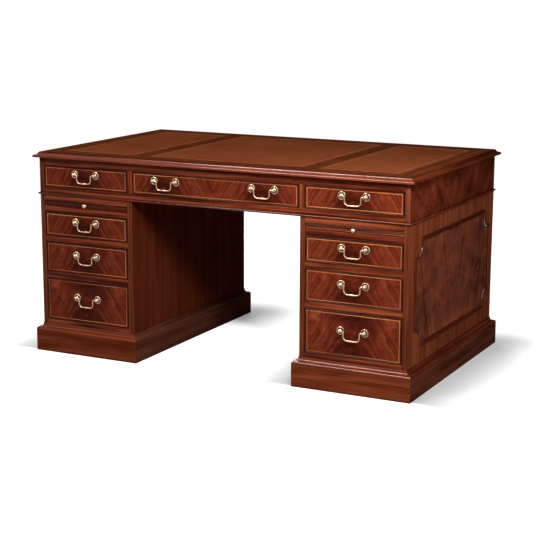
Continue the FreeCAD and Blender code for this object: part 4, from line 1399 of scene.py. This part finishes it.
@dataclass
class Drawer:
    """Drawer with a matched front, boxwood lines, cock beads and its handles."""

    name: str
    x: Span
    z: Span
    depth: float
    facing: int
    handles: dict[str, float] = field(default_factory=lambda: {"": 0.0})
    seams: tuple[float, ...] = (0.0,)
    foot: float = -25.0
    front_thick: float = 20.0
    side: float = 11.0
    bottom: float = 6.0
    bottom_rise: float = 8.0
    side_drop: float = 2.0
    back_drop: float = 8.0
    line_inset: float = 4.0
    line_width: float = 2.2
    line_proud: float = 0.12
    handle_rise: float = 14.0

    @property
    def half(self) -> float:
        """Half the width of the front."""
        return (self.x[1] - self.x[0]) / 2 - PLAN.drawer_gap

    @property
    def height(self) -> float:
        """Height of the front."""
        return self.z[1] - self.z[0] - PLAN.run_clearance - PLAN.drawer_gap

    @property
    def place(self) -> Matrix:
        """Place of the middle of the front's lower edge."""
        middle = (self.x[0] + self.x[1]) / 2
        where = shifted(middle, self.facing * PLAN.body_y, self.z[0] + PLAN.run_clearance)
        return where @ turned(0 if self.facing == FRONT else 180, "Z")

    def build(self) -> None:
        """Build and finish the drawer and its handles."""
        self.front()
        self.box()
        handle = BailHandle(front_thick=self.front_thick)
        raised = self.place @ shifted(z=self.height / 2 + self.handle_rise)
        posts = [solid.moved(raised) for solid in handle.posts(self.handles.values())]
        make(f"{self.name}_post_set", posts, ROSETTE, self.name, f"{self.name}_posts")
        for suffix, x in self.handles.items():
            bail = [solid.moved(raised @ shifted(x, -handle.stand)) for solid in handle.bail()]
            body = f"{self.name}_bail{suffix}"
            make(f"{self.name}_swan_neck{suffix}", bail, BRASS, body, body)

    def front(self) -> None:
        """Matched veneer, boxwood lines and cock beads."""
        bead = BEADING.width
        joints = [(a + b) / 2 for a, b in zip(self.seams, self.seams[1:])]
        edges = [bead - self.half, *joints, self.half - bead]
        panels = []
        for seam, x in zip(self.seams, zip(edges, edges[1:])):
            panel = Solid.board(x, (0, BEADING.depth), (bead, self.height - bead), Axis.X, ease=0)
            panels.append(panel.veneered(Vector((seam, 0, self.foot))).moved(self.place))
        make(f"{self.name}_front", panels, DRAWER_FLAME, self.name, self.name)

        inset = bead + self.line_inset
        strip = trace([(0, 0), (0, self.line_proud), (-self.line_width, self.line_proud),
                       (-self.line_width, 0)])
        path = trace(rectangle(self.half - inset, self.height / 2 - inset))
        upright = self.place @ shifted(z=self.height / 2) @ turned(90, "X")
        make(f"{self.name}_lines", [Solid.sweep(strip, path).moved(upright)], BOXWOOD, self.name)

        ring = BEADING.ring(self.half, self.height).moved(self.place)
        # Nearly black beads: painted shade of the gap round the drawer.
        make(f"{self.name}_beads", [ring], BEAD_SHADED, self.name, crown=MOULDED)

    def box(self) -> None:
        """Sides with dovetails at both ends, back and bottom, and the pins of front and back."""
        inner = self.half - self.side
        floor = self.bottom_rise + self.bottom
        side_high, back_high = self.height - self.side_drop, self.height - self.back_drop
        housed = self.depth - self.side
        front_tails = dovetails(self.front_thick, BEADING.depth, 0, side_high)
        rear_tails = dovetails(housed, self.depth, floor, back_high)
        outline = [(self.front_thick, 0), *sum(front_tails, []), (self.front_thick, side_high),
                   (self.depth, side_high), (self.depth, back_high), (housed, back_high),
                   *reversed(sum(rear_tails, [])), (housed, floor), (self.depth, floor),
                   (self.depth, 0)]
        width = (-inner, inner)
        backing = [Solid.board(width, (BEADING.depth, self.front_thick), (0, self.height),
                               Axis.X, ease=0)]
        box = [Solid.board(width, y, z, Axis.X, ease=0)
               for y, z in (((housed, self.depth), (floor, back_high)),
                            ((self.front_thick, self.depth), (self.bottom_rise, floor)))]
        for x in ((-self.half, -inner), (inner, self.half)):
            box.append(upright_sheet(outline, x, Axis.X))
            backing += [upright_sheet(pin, x, Axis.Z) for pin in pins(front_tails, 0, self.height)]
            box += [upright_sheet(pin, x, Axis.Z) for pin in pins(rear_tails, floor, back_high)]
        for word, solids, finish in (("backing", backing, STRAIGHT), ("box", box, INNER)):
            moved = [solid.moved(self.place) for solid in solids]
            make(f"{self.name}_{word}", moved, finish, self.name)

@dataclass
class Slide:
    """Brushing slide with its small knob."""

    name: str
    x: Span
    z: Span = (561.0, 581.0)
    depth: float = 420.0
    lip: float = 22.0
    bead: float = 2.2
    sunk: float = 1.0
    base: float = 4.8
    neck: float = 3.0
    stem: float = 5.0
    crown: float = 5.0
    reach: float = 15.0
    radius: float = 7.5
    underside: float = 5.5

    def build(self) -> None:
        """Build and finish the slide."""
        x = (self.x[0] + PLAN.drawer_gap, self.x[1] - PLAN.drawer_gap)
        z = (self.z[0] + PLAN.run_clearance, self.z[1] - PLAN.drawer_gap)
        face = -PLAN.body_y
        board = Solid.board(x, (face + self.lip, face + self.depth), z, Axis.Y, ease=0.4)
        make(f"{self.name}_board", [board], STRAIGHT, self.name, self.name)
        rounded, sunk, back = face + self.bead, face + self.sunk, face + self.lip
        low, high = z[0] + 2 * self.bead, z[1] - 2 * self.bead
        strips = [upright_sheet([(back, start), (rounded, start, self.bead, 1), (rounded, end),
                                 (back, end)], x, Axis.Z)
                  for start, end in ((z[0], low), (high, z[1]))]
        # Nearly black beads: painted shade of the gaps round the lip.
        make(f"{self.name}_lip_beads", strips, BEAD_SHADED, self.name, crown=MOULDED)
        sunk_face = Solid.board(x, (sunk, back), (low, high), Axis.X, ease=0)
        make(f"{self.name}_lip", [sunk_face], STRAIGHT, self.name)
        knob = self.knob().moved(shifted((x[0] + x[1]) / 2, face, (z[0] + z[1]) / 2))
        make(f"{self.name}_pull", [knob], BRASS, self.name, f"{self.name}_knob")

    def knob(self) -> Solid:
        """Turned knob standing on y = 0 and reaching to negative y."""
        foot = self.neck - self.base
        dome = (self.radius ** 2 + self.crown ** 2) / (2 * self.crown)
        return Solid.turning(trace([
            (0, 0), (self.base, 0), (self.base, foot), (self.neck, 2 * foot),
            (self.neck, -self.stem, self.underside, 1),
            (self.radius, self.crown - self.reach, dome, 1), (0, -self.reach),
        ], closed=False), TURNED_STEPS)


@dataclass
class Pedestal:
    """Carcass, rails, plinth, drawers and slide of one pedestal."""

    word: str
    side: int
    partition: Span = (50.0, 62.0)
    runner: float = 30.0
    base_rail: Span = (107.0, 124.0)
    head_rail: Span = (581.0, 603.0)
    lower_rail: Span = (285.0, 308.5)
    middle_rail: Span = (425.0, 447.0)
    upper_rail: Span = (538.0, 561.0)
    stop: Span = (10.0, 20.0)
    door_thick: float = 20.0
    stop_clearance: float = 0.3
    door_mid: float = 352.5
    cleat: Span = (15.0, 18.0)
    shelf_setback: float = 40.0
    end_margin: float = 47.0
    end_margin_high: float = 58.0
    drawer_depth: float = 470.0
    field_thick: float = 0.3
    plinth_face: float = 83.0
    plinth_lip: float = 5.0
    plinth_seat: float = 11.0

    @property
    def name(self) -> str:
        """Name of the pedestal."""
        return f"pedestal_{self.word}"

    @property
    def inside(self) -> Span:
        """Span of the opening."""
        return PLAN.handed(self.side, *PLAN.opening)

    @property
    def hollow(self) -> Span:
        """Heights of the pedestal's floor and ceiling."""
        return self.base_rail[1], self.head_rail[0]

    def build(self) -> None:
        """Build and finish the pedestal."""
        self.carcass()
        self.end_field()
        self.rails()
        self.plinth()
        for word, z in (("upper", (self.middle_rail[1], self.upper_rail[0])),
                        ("middle", (self.lower_rail[1], self.middle_rail[0])),
                        ("lower", (self.base_rail[1], self.lower_rail[0]))):
            Drawer(f"{self.name}_drawer_{word}", self.inside, z, self.drawer_depth, FRONT).build()
        Slide(f"{self.name}_slide", self.inside).build()

    def carcass(self) -> None:
        """End, kneehole side, floor, ceiling and partition."""
        opening = PLAN.opening
        height = (PLAN.carcass_low, PLAN.carcass_high)
        between = (PLAN.rail_depth - PLAN.body_y, PLAN.body_y - PLAN.rail_depth)
        node = f"{self.name}_carcass"
        spans = [PLAN.handed(self.side, opening[1], PLAN.body_x),
                 PLAN.handed(self.side, PLAN.inner_x, opening[0])]
        # The kneehole side takes a darker copy of the end's wood: painted shade.
        for word, x, finish in zip(("end", "kneehole_side"), spans, (FLANK, KNEEHOLE_SHADED)):
            board = Solid.board(x, PLAN.cored_y, height, Axis.Z, ease=0)
            make(f"{self.name}_{word}", [board], finish, "desk", node)
        strips = [strip for x in spans for strip in lippings(x, height)]
        make(f"{self.name}_lippings", strips, LIPPING, "desk", node)
        inner = [
            Solid.board(self.inside, between, self.base_rail, Axis.X, ease=0),
            Solid.board(self.inside, between, self.head_rail, Axis.X, ease=0),
            Solid.board(self.inside, self.partition, self.hollow, Axis.Z, ease=0),
        ]
        make(f"{self.name}_inner_boards", inner, INNER, "desk", node)

    def end_field(self) -> None:
        """Moulding on the end and the matched veneer inside it."""
        middle = (PLAN.carcass_low + PLAN.carcass_high) / 2
        half_high = (PLAN.carcass_high - PLAN.carcass_low) / 2 - self.end_margin_high
        shape = NotchedMoulding(PLAN.body_y - self.end_margin, half_high)
        where = (shifted(self.side * PLAN.body_x, 0, middle) @ turned(90 * self.side, "Z")
                 @ turned(90, "X"))
        # The moulding's outward faces are dark: painted shade lines round the veneer.
        make(f"{self.name}_end_moulding", [shape.solid().moved(where)], POLISHED, "desk",
             "end_panel_mouldings", flank=RAISED_SHADED, notch=RUBBED)
        sheet = shape.field(self.field_thick).moved(where)
        sheet.veneered(Vector((0, 0, middle - half_high)), Axis.Y)
        make(f"{self.name}_end_veneer", [sheet], END_FLAME, "desk")

    def rails(self) -> None:
        """Rails, runners, door stop and shelf cleats."""
        front = (-PLAN.body_y, PLAN.rail_depth - PLAN.body_y)
        rear = (PLAN.body_y - PLAN.rail_depth, PLAN.body_y)
        levels = (self.lower_rail, self.middle_rail, self.upper_rail)
        rails = [Solid.board(self.inside, y, z, Axis.X, ease=0.3) for y in (front, rear)
                 for z in (self.base_rail, self.head_rail)]
        rails += [Solid.board(self.inside, front, z, Axis.X, ease=0.3) for z in levels]
        inner, outer = PLAN.opening
        stop_face = PLAN.body_y - self.door_thick - self.stop_clearance
        rails.append(Solid.board(PLAN.handed(self.side, inner, inner + self.stop[0]),
                                 (stop_face - self.stop[1], stop_face), self.hollow,
                                 Axis.Z, ease=0.5))
        make(f"{self.name}_rail_set", rails, STRAIGHT, "desk", f"{self.name}_rails")

        def at_sides(width: float) -> list[Span]:
            """Spans of a given width along both sides of the opening."""
            return [PLAN.handed(self.side, inner, inner + width),
                    PLAN.handed(self.side, outer - width, outer)]

        runners = [Solid.board(x, (front[1], self.partition[0]), z, Axis.Y, ease=0.5)
                   for z in levels for x in at_sides(self.runner)]
        shelf_y = (self.partition[1], PLAN.body_y - self.door_thick - self.shelf_setback)
        width, height = self.cleat
        cleat_z = (self.door_mid - height, self.door_mid)
        runners += [Solid.board(x, shelf_y, cleat_z, Axis.Y, ease=1.0) for x in at_sides(width)]
        make(f"{self.name}_runners", runners, INNER, "desk", f"{self.name}_rails")

    def plinth(self) -> None:
        """Mitred boards with an ogee along their upper edge."""
        out = PLAN.plinth_out
        top = self.plinth_face + PLAN.ovolo
        boards = trace([(-self.plinth_seat, 0), (out, 0), (out, self.plinth_face),
                        (-self.plinth_seat, self.plinth_face)])
        ogee = trace([
            (-self.plinth_seat, self.plinth_face), (out, self.plinth_face, PLAN.ovolo, -1),
            (out - PLAN.ovolo, top, PLAN.plinth_cove, 1),
            (PLAN.plinth_fillet, PLAN.carcass_low - self.plinth_lip),
            (PLAN.plinth_fillet, PLAN.carcass_low), (-self.plinth_seat, PLAN.carcass_low),
        ])
        middle, half = PLAN.pedestal
        path = trace(rectangle(half, PLAN.body_y))
        node = f"{self.name}_plinth"
        # Sides that look to the desk's ends and into the kneehole take darker copies of the wood,
        # as painted shade; the ogee's front and rear runs take a lighter polished copy, as painted
        # light.
        for word, section, finish, flank in (("boards", boards, PLINTH, PLINTH_SIDE_SHADED),
                                             ("ogee", ogee, EDGE_LIT, MOULDED)):
            ring = Solid.sweep(section, path).moved(shifted(self.side * middle))
            make(f"{node}_{word}", [ring], finish, "desk", node, flank=flank, inward=SHADED)


@dataclass
class Door:
    """Cupboard door on the rear side."""

    word: str
    side: int
    x: Span = (361.5, 720.0)
    z: Span = (125.5, 579.5)
    thick: float = 20.0
    margin: float = 42.0
    field_thick: float = 0.3

    @property
    def name(self) -> str:
        """Name of the door."""
        return f"cupboard_door_{self.word}"

    def build(self) -> None:
        """Build and finish the door."""
        half, height = (self.x[1] - self.x[0]) / 2, self.z[1] - self.z[0]
        middle = self.side * (self.x[0] + self.x[1]) / 2
        place = shifted(middle, PLAN.body_y, self.z[0]) @ turned(180, "Z")
        upright = place @ shifted(z=height / 2) @ turned(90, "X")
        bead, depth = BEADING.width, BEADING.depth
        boards = [
            Solid.board((bead - half, half - bead), (0, depth), (bead, height - bead),
                        Axis.Z, ease=0),
            Solid.board((-half, half), (depth, self.thick), (0, height), Axis.Z, ease=0.4),
        ]
        boards = [board.moved(place) for board in boards]
        make(f"{self.name}_board", boards, STRAIGHT, self.name, self.name)
        ring = BEADING.ring(half, height).moved(place)
        # Nearly black beads: painted shade of the gap round the door.
        make(f"{self.name}_beads", [ring], BEAD_SHADED, self.name, crown=MOULDED)
        shape = NotchedMoulding(half - self.margin, height / 2 - self.margin)
        make(f"{self.name}_moulding", [shape.solid().moved(upright)], POLISHED, self.name)
        sheet = shape.field(self.field_thick).moved(upright)
        sheet.veneered(Vector((middle, 0, self.z[0] + self.margin)))
        make(f"{self.name}_veneer", [sheet], DRAWER_FLAME, self.name)
        dress(f"{self.name}_fittings", BRASS)


@dataclass(frozen=True)
class Lamp:
    """Soft box, its place and target in metres."""

    name: str
    place: Corner
    target: Corner
    size: Span
    watts: float
    spread: float = 180.0
    gloss_only: bool = False

    def hang(self) -> None:
        """Hang the lamp, turned towards its target."""
        data = bpy.data.lights.new(self.name, "AREA")
        data.shape = "RECTANGLE"
        data.size, data.size_y = self.size
        data.energy = self.watts
        data.spread = radians(self.spread)
        lamp = bpy.data.objects.new(self.name, data)
        turn = (Vector(self.target) - Vector(self.place)).to_track_quat("-Z", "Y")
        lamp.matrix_world = Matrix.Translation(self.place) @ turn.to_matrix().to_4x4()
        lamp.visible_camera = False
        lamp.visible_diffuse = not self.gloss_only
        bpy.context.scene.collection.objects.link(lamp)


@dataclass
class Studio:
    """Floor, backdrop, lamps and camera.

    A glow is a pair of places on the floor in metres, each with the share of white there. The
    floor's white glow is seen only straight and in mirrors; it is full in front of the desk and
    over the kneehole, painting light over the shadow that falls there, and drops near the
    plinths so that their shadow shows.
    """

    eye: Corner = (2.40804, -4.75432, 1.41765)
    azimuth: float = 26.970
    elevation: float = 11.701
    roll: float = 0.142
    focal_pixels: float = 1417.27
    frame_pixels: float = 533.0
    sensor: float = 36.0
    world_light: float = 0.07
    floor_half: float = 30.0
    floor_colour: Corner = (0.4, 0.4, 0.4, 1.0)
    glow_round: tuple[Span, Span] = ((0.0, 0.25), (0.27, 1.0))
    glow_front: tuple[Span, Span] = ((-0.47, 1.0), (-0.425, 0.0))
    glow_kneehole_left: tuple[Span, Span] = ((-0.5, 0.0), (-0.4, 1.0))
    glow_kneehole_right: tuple[Span, Span] = ((0.0, 1.0), (0.12, 0.0))
    glow_kneehole_back: tuple[Span, Span] = ((0.15, 1.0), (0.42, 0.0))
    lamps: tuple[Lamp, ...] = (
        Lamp("key", (1.5, -2.0, 2.0), (0.6, -0.45, 0.78), (0.5, 0.5), 5.2, spread=50.0),
        Lamp("front", (-0.6, -2.2, 2.6), (0.0, -0.3, 0.5), (1.2, 0.8), 54.0),
        Lamp("side", (2.6, -1.4, 1.7), (0.6, 0.0, 0.4), (1.0, 1.0), 40.0),
        Lamp("rear", (-1.5, 2.6, 1.9), (0.1, 0.3, 0.4), (1.2, 1.0), 50.0),
        Lamp("far_side", (-2.8, -0.5, 1.8), (-0.6, 0.0, 0.4), (1.0, 1.0), 27.0),
        Lamp("gleam", (-1.0, -2.1, 3.1), (0.1, -0.2, 0.6), (1.6, 0.6), 180.0, gloss_only=True),
    )

    def build(self) -> None:
        """Set the scene."""
        self.camera()
        self.world()
        self.floor()
        for lamp in self.lamps:
            lamp.hang()
        bpy.context.scene.view_settings.view_transform = "Standard"

    def camera(self) -> None:
        """Camera at the height of a standing viewer, a little to the right."""
        turn, tilt, roll = radians(self.azimuth), radians(self.elevation), radians(self.roll)
        ahead = Vector((-sin(turn) * cos(tilt), cos(turn) * cos(tilt), -sin(tilt)))
        aside = ahead.cross(Vector((0, 0, 1))).normalized()
        up = aside.cross(ahead)
        right = aside * cos(roll) + up * sin(roll)
        head = up * cos(roll) - aside * sin(roll)
        data = bpy.data.cameras.new("camera")
        data.sensor_fit = "HORIZONTAL"
        data.sensor_width = self.sensor
        data.lens = self.sensor * self.focal_pixels / self.frame_pixels
        camera = bpy.data.objects.new("camera", data)
        rows = Matrix((right, head, -ahead)).transposed().to_4x4()
        camera.matrix_world = Matrix.Translation(self.eye) @ rows
        bpy.context.scene.collection.objects.link(camera)
        bpy.context.scene.camera = camera

    def world(self) -> None:
        """White where it is seen, and an even soft light elsewhere."""
        world = bpy.data.worlds.new("studio")
        world.use_nodes = True
        background = world.node_tree.nodes["Background"]
        background.inputs["Color"].default_value = (1.0, 1.0, 1.0, 1.0)
        Tree(world.node_tree).seen(background.inputs["Strength"], 1.0, self.world_light)
        bpy.context.scene.world = world

    def floor(self) -> None:
        """Pale floor that keeps the desk's shadow beside the plinths; its glow is white away from
        the desk, and paints light over the shadow in front of it and over the kneehole.
        """
        mesh = bpy.data.meshes.new("floor")
        plane = bmesh.new()
        bmesh.ops.create_grid(plane, x_segments=1, y_segments=1, size=self.floor_half)
        plane.to_mesh(mesh)
        plane.free()
        made = Recipe("floor", Base_Color=self.floor_colour, Roughness=1.0,
                      Specular_IOR_Level=0.0)
        x, y, _ = made.split(made.own_place())
        middle, half = PLAN.pedestal
        across = made.calc("SUBTRACT", made.calc("ABSOLUTE", x), middle * MM)
        squares = []
        for place, edge in ((across, half + PLAN.plinth_out), (y, PLAN.body_y + PLAN.plinth_out)):
            beyond = made.calc("SUBTRACT", made.calc("ABSOLUTE", place), edge * MM)
            squares.append(made.calc("POWER", made.calc("MAXIMUM", beyond, 0.0), 2.0))
        distance = made.calc("SQRT", made.calc("ADD", *squares))
        # Painted light: the glow is full white over the kneehole's floor and in front of the desk.
        kneehole = made.between(x, *self.glow_kneehole_left)
        for place, glow in ((x, self.glow_kneehole_right), (y, self.glow_kneehole_back)):
            kneehole = made.calc("MULTIPLY", kneehole, made.between(place, *glow))
        white = made.between(distance, *self.glow_round)
        for more in (kneehole, made.between(y, *self.glow_front)):
            white = made.calc("MAXIMUM", white, more)
        made.feed(made.shader.inputs["Emission Color"], white)
        made.seen(made.shader.inputs["Emission Strength"], 1.0, 0.0)
        mesh.materials.append(made.material)
        floor = bpy.data.objects.new("floor", mesh)
        bpy.context.scene.collection.objects.link(floor)


def main() -> None:
    """Build the desk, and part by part."""
    logging.basicConfig(level=logging.INFO, format="%(name)s %(message)s")
    Studio().build()
    Top().build()
    Frieze().build()
    for word, side in SIDES.items():
        Pedestal(word, side).build()
        Door(word, side).build()
    dress("cupboard_shelves", INNER_SOLID)
    dress("cupboard_hinges", BRASS)


if __name__ == "__main__":
    main()
